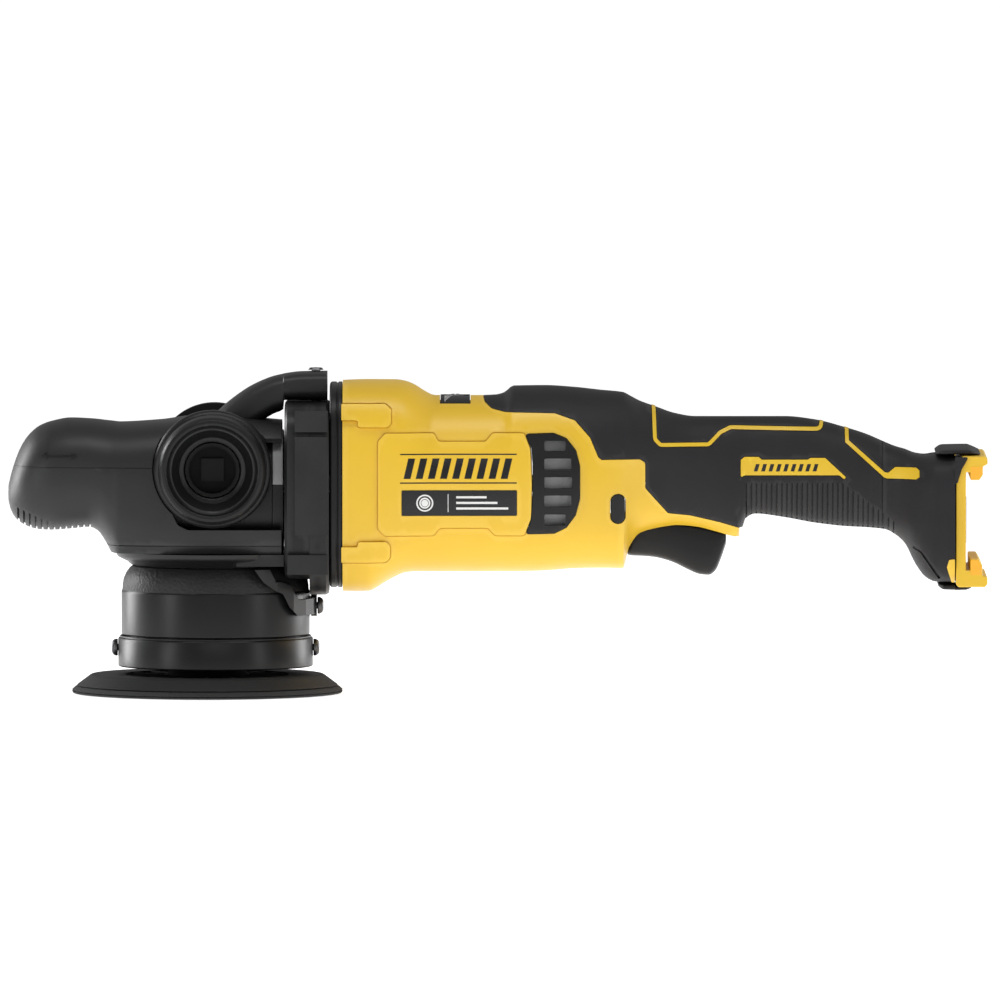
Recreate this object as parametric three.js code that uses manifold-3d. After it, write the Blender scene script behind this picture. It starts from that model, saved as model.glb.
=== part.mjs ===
// Cordless orbital rotary polisher: gear head, motor housing, grip, battery foot and a 125 mm pad.
// Millimetres. +X runs back to the battery foot, +Z is up, and the pad's working face is at z = 0.
// The spindle axis is x = 0, y = 0. Left parts are on the -Y side.
import * as THREE from "three";
import { mergeVertices } from "three/addons/utils/BufferGeometryUtils.js";
import Module from "manifold-3d";

const wasm = await Module();
wasm.setup();

// ---- main sizes ----
const GAP = 0.3; // clearance between neighbouring pieces
const SIDES = 20; // points round each lofted section
const ROTOR_Z = 96.5; // height of the motor shaft
const HUB_X = -0.9; // side handle sockets
const HUB_Z = 105;
const SEAM_Z = 105.4; // joint between the two head covers
const ORBIT = [-3.75, -6.5]; // pad axis, 7.5 mm from the spindle axis
const CROWN_TEETH = 20;
const PINION_TEETH = 8;
const CROWN_R = 27; // pitch radii at the outer end of the bevel teeth
const PINION_R = 10.8;
const SKIN = 2.2; // thickness of the soft overmould
const TRIGGER_PIVOT = [197.5, 0, 79.5];
const DIAL_AT = [111, 0, 129.3];

// ---- sections along X: x, bottom z, top z, half width, squareness ----
const BODY = [
  [59.0, 47.0, 144.2, 43.0, 3.4],
  [71.0, 47.0, 144.6, 43.0, 3.4],
  [78.0, 50.8, 144.6, 42.6, 3.2],
  [87.7, 55.4, 144.0, 41.6, 2.8],
  [92.4, 55.9, 142.2, 41.2, 2.6],
  [101.6, 55.9, 137.4, 40.5, 2.4],
  [124.0, 55.9, 137.4, 40.4, 2.4],
  [133.6, 55.9, 138.7, 40.3, 2.4],
  [138.0, 55.9, 141.8, 40.2, 2.5],
  [178.0, 57.5, 139.9, 37.2, 2.5],
  [188.8, 57.3, 138.8, 34.0, 2.5],
  [191.2, 66.0, 137.6, 32.8, 2.5],
  [196.5, 73.0, 134.8, 30.4, 2.5],
  [212.8, 76.0, 129.1, 24.9, 2.5],
  [232, 72.3, 127.7, 20.9, 2.5],
  [241.5, 71.2, 127.7, 20.0, 2.5],
  [245.2, 80.3, 127.7, 19.8, 2.5],
  [249.8, 82.6, 127.7, 19.6, 2.5],
  [277.5, 78.4, 126.2, 19.5, 2.5],
  [291.5, 76.8, 122.6, 19.5, 2.5],
  [310.0, 75.4, 115.7, 20.6, 2.5],
  [319.2, 68.9, 112.4, 26.2, 3.2],
  [323.9, 59.6, 110.5, 31.0, 3.8],
  [328.5, 53.8, 109.8, 35.5, 4.5],
  [333.0, 51.8, 110.3, 38.4, 5.0],
  [341.8, 51.6, 110.6, 39.0, 5.0],
];
const BODY_HOLLOW = [
  [57.0, 53, 139, 37.8, 3.0],
  [85.0, 60, 138, 36.2, 2.7],
  [98.0, 61, 131.8, 35.4, 2.5],
  [126.0, 61, 131.8, 35.2, 2.4],
  [185.0, 62.6, 132.0, 29.0, 2.4],
  [192.0, 80, 130.5, 26.5, 2.5],
  [210.0, 83, 123.2, 19.6, 2.5],
  [232.0, 83, 122.3, 15.4, 2.5],
  [252.0, 88, 122.3, 14.4, 2.5],
  [290.0, 83, 116.8, 14.2, 2.5],
  [311.0, 81, 109.0, 15.0, 2.5],
  [322.0, 74, 106.2, 22.0, 3.0],
  [332.0, 58, 105.6, 31.0, 4.0],
  [344.0, 56, 106.0, 33.5, 5.0],
];
const HEAD = [
  [-95.8, 88.5, 96.0, 9.0, 2.2],
  [-95.0, 85.0, 99.7, 14.0, 2.2],
  [-92.4, 80.5, 108.2, 20.5, 2.3],
  [-86.0, 76.5, 119.6, 28.5, 2.4],
  [-81.3, 75.4, 123.4, 31.5, 2.4],
  [-75.7, 75.2, 125.5, 33.6, 2.5],
  [-58.0, 76.6, 126.6, 36.4, 2.6],
  [-54.5, 75.0, 126.3, 37.0, 2.6],
  [-50.7, 69.8, 125.8, 37.8, 2.7],
  [-47.4, 63.4, 125.4, 38.6, 2.9],
  [-44.4, 55.6, 125.0, 39.6, 3.1],
  [-25.0, 52.7, 126.0, 41.5, 3.5],
  [-12.0, 52.7, 127.6, 42.0, 3.6],
  [4.0, 52.7, 127.8, 42.0, 3.6],
  [30.8, 52.7, 125.8, 42.0, 3.6],
];
const HEAD_HOLLOW = [
  [-91.0, 86, 100, 16.0, 2.3],
  [-82.0, 79, 118.5, 27.5, 2.4],
  [-68.0, 79, 123.0, 31.6, 2.5],
  [-54.0, 79, 122.6, 33.2, 2.6],
  [-45.0, 67, 121.5, 35.4, 2.9],
  [-36.0, 50, 121.2, 37.0, 3.2],
  [-12.0, 50, 123.4, 38.4, 3.5],
  [33.0, 50, 121.8, 38.4, 3.5],
];
const ARCH = [
  [-8.0, 112, 127.4, 12.0, 2.6],
  [0.0, 114, 129.6, 13.5, 2.7],
  [5.0, 116, 133.8, 14.0, 2.8],
  [16.0, 121.8, 141.6, 14.4, 3.0],
  [27.0, 129.0, 146.3, 14.8, 3.2],
  [31.4, 131.0, 147.3, 15.0, 3.3],
  [31.8, 135.3, 147.4, 15.0, 3.4],
  [40.0, 135.3, 148.4, 15.0, 3.5],
  [51.8, 135.3, 148.6, 15.0, 3.6],
];
const CASE = [
  [-35.0, 66.0, 117.5, 32.0, 3.2],
  [-30.0, 65.8, 119.5, 34.5, 3.4],
  [31.6, 65.8, 121.0, 35.5, 3.6],
];
const COLLAR = [
  [32.2, 53.8, 133.6, 44.6, 4.6],
  [33.4, 53.2, 134.8, 45.8, 4.8],
  [43.7, 53.0, 134.9, 46.0, 4.8],
  [44.0, 45.8, 134.9, 46.0, 4.8],
  [51.4, 45.8, 134.9, 46.0, 4.8],
  [52.7, 46.6, 134.1, 45.2, 4.6],
];
const ADAPTER = [
  [53.0, 49.6, 142.6, 42.0, 3.6],
  [53.8, 48.8, 143.4, 42.6, 3.6],
  [58.7, 48.8, 143.4, 42.6, 3.6],
];

// ---- outlines in the side plane: x, z ----
const GRIP_EDGE = [
  [123.9, 138.1],
  [124.8, 135.3],
  [128.0, 132.5],
  [134.0, 131.1],
  [157.2, 130.6],
  [166.4, 127.4],
  [173.4, 119.5],
  [177.1, 110.7],
  [178.5, 109.3],
  [196.5, 109.3],
  [198.9, 107.6],
  [198.9, 95.9],
  [209.5, 83.9],
  [219.7, 82.8],
  [233.6, 79.5],
  [242.6, 76.8],
];
const BADGE = [
  [243.0, 100.3],
  [243.0, 108.3],
  [244.8, 109.7],
  [251.3, 109.7],
  [252.7, 108.4],
  [273.9, 108.4],
  [275.3, 109.2],
  [282.0, 109.2],
  [291.6, 100.3],
  [290.8, 99.3],
  [288.5, 101.2],
  [244.8, 101.2],
];
const SCREEN = [
  [143.4, 121.0],
  [156.3, 121.4],
  [162.3, 119.0],
  [166.6, 113.5],
  [168.4, 106.4],
  [168.4, 91.1],
  [166.4, 83.7],
  [162.3, 78.0],
  [156.8, 75.2],
  [143.6, 74.9],
  [146.1, 81.4],
  [146.8, 91.1],
  [146.8, 106.4],
  [146.1, 115.0],
];
const SIDE_PANEL = [
  [75.4, 117.9],
  [75.4, 77.5],
  [78.7, 74.2],
  [101.1, 74.2],
  [103.8, 77.8],
  [126.2, 77.8],
  [129.5, 74.2],
  [142.9, 74.2],
  [146.0, 82.4],
  [146.3, 98.0],
  [145.6, 114.3],
  [142.8, 121.5],
  [128.4, 121.5],
  [125.1, 117.6],
  [103.3, 117.6],
  [101.1, 121.5],
  [78.7, 121.5],
];
const CORNER_RIB = [
  [60, 135.0],
  [78.7, 135.0],
  [81.4, 132.6],
  [81.4, 126.1],
  [79.8, 124.4],
  [66.1, 124.4],
  [66.1, 127.6],
  [60, 127.6],
];
const LOWER_RIB = [
  [60, 69.0],
  [66.1, 69.0],
  [66.1, 71.4],
  [79.2, 71.4],
  [81.0, 69.4],
  [81.0, 64.0],
  [79.0, 61.8],
  [60, 61.8],
];
const CASE_WINDOW = [
  [-19.5, 84.0],
  [-17.0, 79.0],
  [-12.4, 76.8],
  [34.0, 76.8],
  [34.0, 119.0],
  [-19.5, 119.0],
];
const BRACKET = [
  [18.5, 58.4],
  [25.5, 58.4],
  [27.6, 54.2],
  [31.0, 52.4],
  [35.2, 50.6],
  [38.6, 43.8],
  [49.0, 43.8],
  [49.0, 36.4],
  [38.5, 36.4],
  [34.6, 40.6],
  [31.6, 46.8],
  [27.0, 49.2],
  [22.4, 52.8],
];

// ---- materials ----
const paint = (color, roughness, metalness = 0) =>
  new THREE.MeshStandardMaterial({ color, roughness, metalness });
const YELLOW = paint(0xf5c410, 0.42);
const ORANGE = paint(0xf0b020, 0.5);
const BLACK = paint(0x222224, 0.5);
const RUBBER = paint(0x2c2b2e, 0.75);
const GREY = paint(0x6b6b6b, 0.6);
const FOAM = paint(0x161617, 0.9);
const STEEL = paint(0x9a9c9f, 0.35, 1);
const ALUMINIUM = paint(0xb4b5b6, 0.42, 1);
const COPPER = paint(0xb06a3a, 0.4, 1);

// ---- building blocks ----
const group = new THREE.Group();
group.name = "rotary_polisher";

// A closed three.js geometry as a solid for cutting and joining.
function solid(geometry) {
  const loose = geometry.index ? geometry.toNonIndexed() : geometry.clone();
  loose.deleteAttribute("normal");
  loose.deleteAttribute("uv");
  const merged = mergeVertices(loose, 1e-4);
  const tris = [];
  const index = merged.index.array;
  for (let i = 0; i < index.length; i += 3) {
    const [a, b, c] = [index[i], index[i + 1], index[i + 2]];
    if (a !== b && b !== c && c !== a) tris.push(a, b, c);
  }
  const make = () =>
    new wasm.Manifold(
      new wasm.Mesh({
        numProp: 3,
        vertProperties: new Float32Array(merged.attributes.position.array),
        triVerts: new Uint32Array(tris),
      }),
    );
  const first = make();
  if (first.volume() > 0) return first;
  for (let i = 0; i < tris.length; i += 3) {
    [tris[i + 1], tris[i + 2]] = [tris[i + 2], tris[i + 1]];
  }
  return make();
}

// A solid back as a three.js geometry.
function geometryOf(body) {
  const mesh = body.getMesh();
  const step = mesh.numProp;
  const position = new Float32Array(mesh.numVert * 3);
  for (let i = 0; i < mesh.numVert; i++) {
    position.set(mesh.vertProperties.subarray(i * step, i * step + 3), i * 3);
  }
  const geometry = new THREE.BufferGeometry();
  geometry.setAttribute("position", new THREE.BufferAttribute(position, 3));
  geometry.setIndex(new THREE.BufferAttribute(new Uint32Array(mesh.triVerts), 1));
  return geometry;
}

function add(name, body, material) {
  const geometry = geometryOf(body).toNonIndexed();
  geometry.computeVertexNormals();
  const mesh = new THREE.Mesh(geometry, material);
  mesh.name = name;
  group.add(mesh);
}

// A stack of superellipse sections along X, closed at both ends.
function loft(sections, sides = SIDES) {
  const points = [];
  for (const [x, low, high, half, power] of sections) {
    for (let i = 0; i < sides; i++) {
      const turn = (2 * Math.PI * i) / sides;
      const y = Math.sign(Math.cos(turn)) * Math.abs(Math.cos(turn)) ** (2 / power);
      const z = Math.sign(Math.sin(turn)) * Math.abs(Math.sin(turn)) ** (2 / power);
      points.push(x, half * y, (low + high) / 2 + ((high - low) / 2) * z);
    }
  }
  const index = [];
  const last = sections.length - 1;
  for (let s = 0; s < last; s++) {
    for (let i = 0; i < sides; i++) {
      const j = (i + 1) % sides;
      const [a, b] = [s * sides + i, s * sides + j];
      index.push(a, b, b + sides, a, b + sides, a + sides);
    }
  }
  for (const s of [0, last]) {
    const centre = points.length / 3;
    const [x, low, high] = sections[s];
    points.push(x, 0, (low + high) / 2);
    for (let i = 0; i < sides; i++) {
      const [a, b] = [s * sides + i, s * sides + ((i + 1) % sides)];
      index.push(centre, ...(s ? [a, b] : [b, a]));
    }
  }
  const geometry = new THREE.BufferGeometry();
  geometry.setAttribute("position", new THREE.Float32BufferAttribute(points, 3));
  geometry.setIndex(index);
  return solid(geometry);
}

// The same sections moved out by d all round, with the ends moved by e.
function grown(sections, d, e = 0) {
  return sections.map(([x, low, high, half, power], i) => {
    const end = i === 0 ? -e : i === sections.length - 1 ? e : 0;
    return [x + end, low - d, high + d, half + d, power];
  });
}

// An outline in the side plane pushed from y0 to y1.
function plate(outline, y0, y1) {
  const shape = new THREE.Shape(outline.map(([x, z]) => new THREE.Vector2(x, z)));
  const geometry = new THREE.ExtrudeGeometry(shape, { depth: y1 - y0, bevelEnabled: false });
  geometry.rotateX(Math.PI / 2);
  geometry.translate(0, y1, 0);
  return solid(geometry);
}

// An outline moved outward by d along its corner bisectors.
function offset(outline, d) {
  const area = outline.reduce((sum, [x, z], i) => {
    const [u, v] = outline[(i + 1) % outline.length];
    return sum + x * v - u * z;
  }, 0);
  const sign = area > 0 ? 1 : -1;
  return outline.map((p, i) => {
    const a = outline[(i + outline.length - 1) % outline.length];
    const b = outline[(i + 1) % outline.length];
    const into = new THREE.Vector2(p[0] - a[0], p[1] - a[1]).normalize();
    const out = new THREE.Vector2(b[0] - p[0], b[1] - p[1]).normalize();
    const side = new THREE.Vector2(into.y + out.y, -into.x - out.x).normalize();
    const spread = Math.max(0.4, side.dot(new THREE.Vector2(into.y, -into.x)));
    return [p[0] + (side.x * sign * d) / spread, p[1] + (side.y * sign * d) / spread];
  });
}

function box(x0, x1, y0, y1, z0, z1) {
  const geometry = new THREE.BoxGeometry(x1 - x0, y1 - y0, z1 - z0);
  geometry.translate((x0 + x1) / 2, (y0 + y1) / 2, (z0 + z1) / 2);
  return solid(geometry);
}

// A turned piece. Profile points are [radius, distance along the axis].
function turned(profile, axis = "z", at = [0, 0, 0], sides = 32) {
  const points = profile.map(([r, h]) => new THREE.Vector2(r, h));
  const geometry = new THREE.LatheGeometry(points, sides);
  if (axis === "z") geometry.rotateX(Math.PI / 2);
  if (axis === "x") geometry.rotateZ(-Math.PI / 2);
  if (axis === "-y") geometry.rotateX(Math.PI);
  geometry.translate(...at);
  return solid(geometry);
}

const rod = (r, from, to, axis, at, sides = 24) =>
  turned([[0, from], [r, from], [r, to], [0, to]], axis, at, sides);
const ring = (r0, r1, from, to, axis, at, sides = 32) =>
  turned([[r0, from], [r1, from], [r1, to], [r0, to], [r0, from]], axis, at, sides);

// One side of a piece: -1 keeps y < 0 and 1 keeps y > 0.
function halfOf(body, side) {
  const near = GAP / 2;
  const keep = side < 0 ? box(-200, 500, -200, -near, -50, 300) : box(-200, 500, near, 200, -50, 300);
  return body.intersect(keep);
}

const SIDE_NAMES = [[-1, "left"], [1, "right"]];
const slab = (outline, side, near = 5) =>
  side < 0 ? plate(outline, -80, -near) : plate(outline, near, 80);

// A curved layer of the body between two depths, cut to an outline on one side.
function layer(outline, side, outer, inner, near = 5) {
  const skin = loft(grown(BODY, outer, 1)).subtract(loft(grown(BODY, inner, 2)));
  return skin.intersect(slab(outline, side, near));
}

// ---- motor housing and its soft overmould ----
const gripRegion = (d) => [
  ...GRIP_EDGE.map(([x, z]) => [x + d * 0.6, z + d * 0.8]),
  [242.6 + d, 30],
  [360, 30],
  [360, 170],
  [123.9 + d, 170],
];

function lockOutline(d) {
  const [x, half, reach] = [186.2, 3.2 + d, 3.4];
  const points = [];
  for (let i = 0; i <= 8; i++) {
    const turn = (Math.PI * i) / 8;
    points.push([x + half * Math.cos(turn), 86.3 + reach + half * Math.sin(turn)]);
  }
  for (let i = 8; i <= 16; i++) {
    const turn = (Math.PI * i) / 8;
    points.push([x + half * Math.cos(turn), 86.3 - reach + half * Math.sin(turn)]);
  }
  return points;
}

const labelOutline = (d) => [
  [86.4 - d, 83.6 - d],
  [139.4 + d, 83.6 - d],
  [139.4 + d, 95.2 + d],
  [86.4 - d, 95.2 + d],
];

// The dark window plate round the speed dial, following the curve of the barrel.
function bezelBlank(d) {
  const skin = loft(grown(BODY, 0.35 + d, 1)).subtract(loft(grown(BODY, -1 - d, 2)));
  return skin.intersect(box(104.2 - d, 117.8 + d, -19 - d, 19 + d, 120, 150));
}

function housing() {
  const outer = loft(BODY);
  const core = loft(grown(BODY, -SKIN - 0.1, 3));
  const skin = plate(gripRegion(0), -90, 90).subtract(core);
  const hollow = loft(BODY_HOLLOW, 20);
  let body = outer.subtract(skin);
  for (const [side] of SIDE_NAMES) {
    body = body.add(layer(SIDE_PANEL, side, 1.4, -1, 20));
    body = body.add(layer(CORNER_RIB, side, 1.8, -1, 20));
    body = body.add(layer(LOWER_RIB, side, 1.8, -1, 20));
    body = body.subtract(layer(labelOutline(0.2), side, 3, 0.2, 20));
    body = body.subtract(slab(offset(SCREEN, GAP), side, 20));
  }
  return body
    .subtract(hollow)
    .subtract(box(189.9, 240.2, -11.9, 11.9, 40, 92))
    .subtract(bezelBlank(GAP))
    .subtract(box(104.4, 117.6, -6.2, 6.2, 120, 150))
    .subtract(box(102, 120, -6.2, 6.2, 120, 135.2))
    .subtract(rod(2.3, -16, 16, "y", [...TRIGGER_PIVOT], 16))
    .subtract(plate(lockOutline(GAP), -60, 60));
}

function grip() {
  const cover = loft(BODY).intersect(plate(gripRegion(GAP), -90, 90));
  let body = cover.subtract(loft(grown(BODY, -SKIN + 0.2, 4)));
  for (const [side] of SIDE_NAMES) {
    body = body.subtract(layer(offset(BADGE, 0.2), side, 2, -1.1));
  }
  return body.subtract(box(230, 243, -12.4, 12.4, 40, 90));
}

const housingBody = housing();
const gripBody = grip();
for (const [side, name] of SIDE_NAMES) {
  add("motor_housing_" + name, halfOf(housingBody, side), YELLOW);
  add("grip_" + name, halfOf(gripBody, side), RUBBER);
  add("badge_" + name, layer(BADGE, side, 0.25, -1), YELLOW);
  add("label_" + name, layer(labelOutline(0), side, 1.6, 0.35, 20), BLACK);
}

// ---- intake screens ----
function screenFrame(side) {
  const flange = layer(SCREEN, side, 1.6, -3.4, 20);
  const slots = [
    [78.9, 84.0, 162.0],
    [87.5, 92.8, 164.6],
    [96.0, 101.3, 164.9],
    [104.7, 109.9, 164.6],
    [113.2, 118.0, 162.0],
  ];
  return slots.reduce((body, [low, high, end]) => {
    const cut = [[152.2, low], [end, low], [end, high], [152.2, high]];
    return body.subtract(slab(cut, side, 10));
  }, flange);
}
const meshOutline = [
  [150.4, 76.5],
  [160.5, 78.6],
  [166.0, 90.0],
  [166.0, 106.5],
  [160.5, 118.2],
  [150.4, 120.4],
];
for (const [side, name] of SIDE_NAMES) {
  add("intake_frame_" + name, screenFrame(side), BLACK);
  add("intake_mesh_" + name, layer(meshOutline, side, -3.7, -4.5, 15), GREY);
}

// ---- gear head ----
const hubAt = [HUB_X, 0, HUB_Z];
const sideAxis = (side) => (side < 0 ? "-y" : "y");

function gearCase() {
  return loft(CASE, 20)
    .subtract(rod(31, 40, 92, "z", [0, 0, 0], 32))
    .subtract(rod(15.5, -20, 40, "x", [0, 0, ROTOR_Z], 28))
    .subtract(rod(31, 60, 108, "z", [0, 0, 0], 32));
}

function headCover() {
  const block = loft(HEAD, 24).add(loft(ARCH, 14));
  let shell = block.subtract(loft(HEAD_HOLLOW, 20).add(loft(grown(CASE, 0.4, 2), 20)));
  for (const [side] of SIDE_NAMES) {
    shell = shell.subtract(slab(CASE_WINDOW, side, 30));
    shell = shell.subtract(rod(27.9, 34, 60, sideAxis(side), hubAt, 32));
  }
  const overCollar = [[31.9, 100], [60, 100], [60, 135.2], [31.9, 135.2]];
  const base = box(-60, 60, -60, 60, 40, 65.7);
  return shell.subtract(base).subtract(plate(overCollar, -60, 60)).subtract(rod(2.5, 130, 160, "z", [46.5, 0, 0], 16));
}

const cover = headCover();
const above = box(-120, 80, -80, 80, SEAM_Z + GAP / 2, 170);
const below = box(-120, 80, -80, 80, 20, SEAM_Z - GAP / 2);
add("gear_case", gearCase(), ALUMINIUM);
add("head_cover_upper", cover.intersect(above), RUBBER);
add("head_cover_lower", cover.intersect(below), RUBBER);

function collar() {
  let body = loft(COLLAR, 20);
  for (const side of [-1, 1]) {
    const [y0, y1] = side < 0 ? [-47.2, -40] : [40, 47.2];
    body = body.add(box(37, 52.4, y0, y1, 122.4, 132.4)).add(box(37, 52.4, y0, y1, 74.8, 120.2));
    body = body.add(box(33.6, 52.4, y0, y1, 56.6, 65.6));
  }
  body = body.subtract(loft([[44, 62, 128, 38, 4], [58, 62, 128, 38, 4]], 20));
  return body
    .subtract(rod(43.8, 40, 58.9, "z", [0, 0, 0], 32))
    .subtract(rod(13.4, 20, 60, "x", [0, 0, ROTOR_Z], 28))
    .subtract(rod(2.5, 120, 160, "z", [46.5, 0, 0], 16));
}
add("collar", collar(), BLACK);

function adapter() {
  const opening = loft([[50, 56, 136, 36, 3], [62, 56, 136, 36, 3]], 20);
  const web = loft([[54, 50, 142, 40, 3], [56.5, 50, 142, 40, 3]], 24);
  return loft(ADAPTER, 20)
    .subtract(opening)
    .add(web)
    .subtract(rod(12, 40, 70, "x", [0, 0, ROTOR_Z], 28));
}
add("adapter_plate", adapter(), BLACK);

const SOCKET = [
  [9.5, 37.2],
  [27.3, 37.2],
  [27.3, 43.6],
  [25.6, 45.4],
  [24.6, 59.0],
  [22.6, 61.0],
  [20.6, 60.8],
  [19.6, 57.4],
  [15.3, 56.2],
  [13.0, 53.0],
  [13.0, 41.6],
  [9.5, 41.6],
  [9.5, 37.2],
];
for (const [side, name] of SIDE_NAMES) {
  add("side_socket_" + name, turned(SOCKET, sideAxis(side), hubAt, 22), BLACK);
  const sleeve = [[0, 42.0], [12.6, 42.0], [12.6, 50.6], [10.9, 50.6], [10.9, 44], [0, 44]];
  const insert = turned(sleeve, sideAxis(side), hubAt, 20);
  const [y0, y1] = side < 0 ? [-46.0, -43] : [43, 46.0];
  const square = box(HUB_X - 5.2, HUB_X + 5.2, y0, y1, HUB_Z - 5.2, HUB_Z + 5.2);
  add("handle_insert_" + name, insert.add(square), STEEL);
}

// ---- skirt round the counterweight ----
const SHROUD = [
  [40.8, 26.6],
  [43.6, 26.6],
  [43.6, 47.6],
  [42.6, 52.6],
  [38.6, 58.6],
  [30.0, 58.6],
  [30.0, 56.2],
  [36.8, 56.2],
  [39.8, 51.6],
  [40.8, 46.8],
  [40.8, 26.6],
];
const SKIRT_RING = [
  [42.2, 12.0],
  [45.1, 12.0],
  [45.1, 25.2],
  [44.4, 26.3],
  [42.2, 26.3],
  [42.2, 12.0],
];
const SCREW_HOLE = 1.9;
const radialHole = (z) => rod(SCREW_HOLE, -60, 60, "x", [0, 0, z], 16);

function shroud() {
  const rear = box(20, 60, -10, 10, 10, 60);
  return turned(SHROUD, "z", [0, 0, 0], 28).subtract(radialHole(40.0).intersect(rear));
}
add("skirt_shroud", shroud(), BLACK);
add("skirt_ring", turned(SKIRT_RING, "z", [0, 0, 0], 28).subtract(radialHole(20.6)), BLACK);

function bracket() {
  const wall = ring(44.3, 46.6, 34, 58.4, "z", [0, 0, 0], 28);
  const band = wall.intersect(plate(BRACKET, -60, 60));
  const eye = rod(5.0, 44.2, 46.9, "x", [0, 0, 40.0], 20);
  const clear = ring(30, 44.3, 20, 60, "z", [0, 0, 0], 28);
  const top = box(43.5, 60, -60, 60, 45.3, 60).add(box(28, 60, -60, 60, 52.5, 60));
  return band.add(eye).subtract(clear).subtract(top).subtract(radialHole(40.0));
}
add("skirt_bracket", bracket(), BLACK);

const screwProfile = (seat) => [
  [0, seat - 4.4],
  [1.6, seat - 4.4],
  [1.6, seat],
  [4.0, seat],
  [4.0, seat + 1.4],
  [2.4, seat + 2.9],
  [0, seat + 2.9],
];
add("skirt_screw_rear", turned(screwProfile(45.3), "x", [0, 0, 20.6], 12), STEEL);
add("bracket_screw", turned(screwProfile(47.2), "x", [0, 0, 40.0], 12), STEEL);
const frontScrew = new THREE.LatheGeometry(screwProfile(45.3).map((p) => new THREE.Vector2(...p)), 12);
frontScrew.rotateZ(Math.PI / 2);
frontScrew.translate(0, 0, 20.6);
add("skirt_screw_front", solid(frontScrew), STEEL);
const archScrew = [[0, 134], [2.1, 134], [2.1, 149.2], [3.6, 149.2], [2.8, 150.2], [0, 150.4]];
add("arch_screw", turned(archScrew, "z", [46.5, 0, 0], 12), STEEL);

// ---- bevel gears ----
// Tapered bevel teeth round +Z. Each end is [pitch radius, height], and the normal leans off the cone.
function bevelTeeth(count, inner, outer, normal, phase) {
  const teeth = [];
  for (let i = 0; i < count; i++) {
    const points = [];
    for (const [r, h] of [inner, outer]) {
      const scale = r / outer[0];
      for (const [depth, half] of [[-1.7, 1.3], [0.8, 0.62]]) {
        const [pr, ph] = [r + normal[0] * depth, h + normal[1] * depth];
        points.push(pr, -half * scale, ph, pr, half * scale, ph);
      }
    }
    const quads = [[0, 1, 3, 2], [4, 6, 7, 5], [0, 4, 5, 1], [2, 3, 7, 6], [0, 2, 6, 4], [1, 5, 7, 3]];
    const wedge = new THREE.BufferGeometry();
    wedge.setAttribute("position", new THREE.Float32BufferAttribute(points, 3));
    wedge.setIndex(quads.flatMap(([a, b, c, d]) => [a, b, c, a, c, d]));
    wedge.rotateZ(phase + (2 * Math.PI * i) / count);
    teeth.push(wedge);
  }
  return teeth;
}

const SLANT = Math.hypot(CROWN_R, PINION_R);
const [LONG, SHORT] = [CROWN_R / SLANT, PINION_R / SLANT];
const FACE = 0.68; // inner end of the teeth as a share of the outer end

function crownGear() {
  const pitch = (share) => [CROWN_R * share, ROTOR_Z - PINION_R * share];
  const teeth = bevelTeeth(CROWN_TEETH, pitch(FACE), pitch(1), [SHORT, LONG], Math.PI / CROWN_TEETH);
  const root = (share) => [pitch(share)[0] - 1.2 * SHORT, pitch(share)[1] - 1.2 * LONG];
  const blank = [
    [6.3, 79.5],
    [24.5, 79.5],
    [28.2, 83.2],
    root(1.0),
    root(FACE),
    [15.5, 87.2],
    [6.3, 87.2],
    [6.3, 79.5],
  ];
  return teeth.reduce((body, tooth) => body.add(solid(tooth)), turned(blank, "z", [0, 0, 0], 20));
}

function pinion() {
  const pitch = (share) => [PINION_R * share, CROWN_R * share];
  const teeth = bevelTeeth(PINION_TEETH, pitch(FACE), pitch(1), [LONG, -SHORT], 0);
  const root = (share) => [pitch(share)[0] - 1.2 * LONG, pitch(share)[1] + 1.2 * SHORT];
  const blank = [[4.3, 17.8], [5.6, 17.8], root(FACE), root(1.0), [9.9, 31.2], [4.3, 31.2], [4.3, 17.8]];
  const turnX = (geometry) => geometry.rotateY(Math.PI / 2).translate(0, 0, ROTOR_Z);
  const body = turned(blank, "x", [0, 0, ROTOR_Z], 16);
  return teeth.reduce((sum, tooth) => sum.add(solid(turnX(tooth))), body);
}

// ---- spindle and orbiting pad ----
const padAxis = [ORBIT[0], ORBIT[1], 0];

function spindle() {
  const shaft = rod(6, 44, 93, "z", [0, 0, 0], 16);
  const web = rod(13.4, 43, 48, "z", [0, 0, 0], 20);
  return shaft.add(web).add(rod(5, 12, 45, "z", padAxis, 14));
}

function counterweight() {
  const weight = rod(37, 27.5, 41.5, "z", [0, 0, 0], 28);
  const geometry = new THREE.BoxGeometry(90, 60, 40);
  geometry.translate(0, -30 - 6, 34);
  geometry.rotateZ(Math.atan2(ORBIT[1], ORBIT[0]) + Math.PI / 2);
  const boss = rod(14.5, 27.5, 42.7, "z", [0, 0, 0], 24);
  return weight.subtract(solid(geometry)).add(boss).subtract(rod(5.3, 20, 50, "z", padAxis, 24));
}

const BACKING = [
  [0, 3.5],
  [60.3, 3.5],
  [53.9, 8.6],
  [38.0, 8.6],
  [36.6, 7.2],
  [21.0, 7.2],
  [18.4, 9.4],
  [16.4, 11.4],
  [15.6, 24.0],
  [11.4, 24.0],
  [11.4, 10.4],
  [0, 10.4],
];

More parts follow.
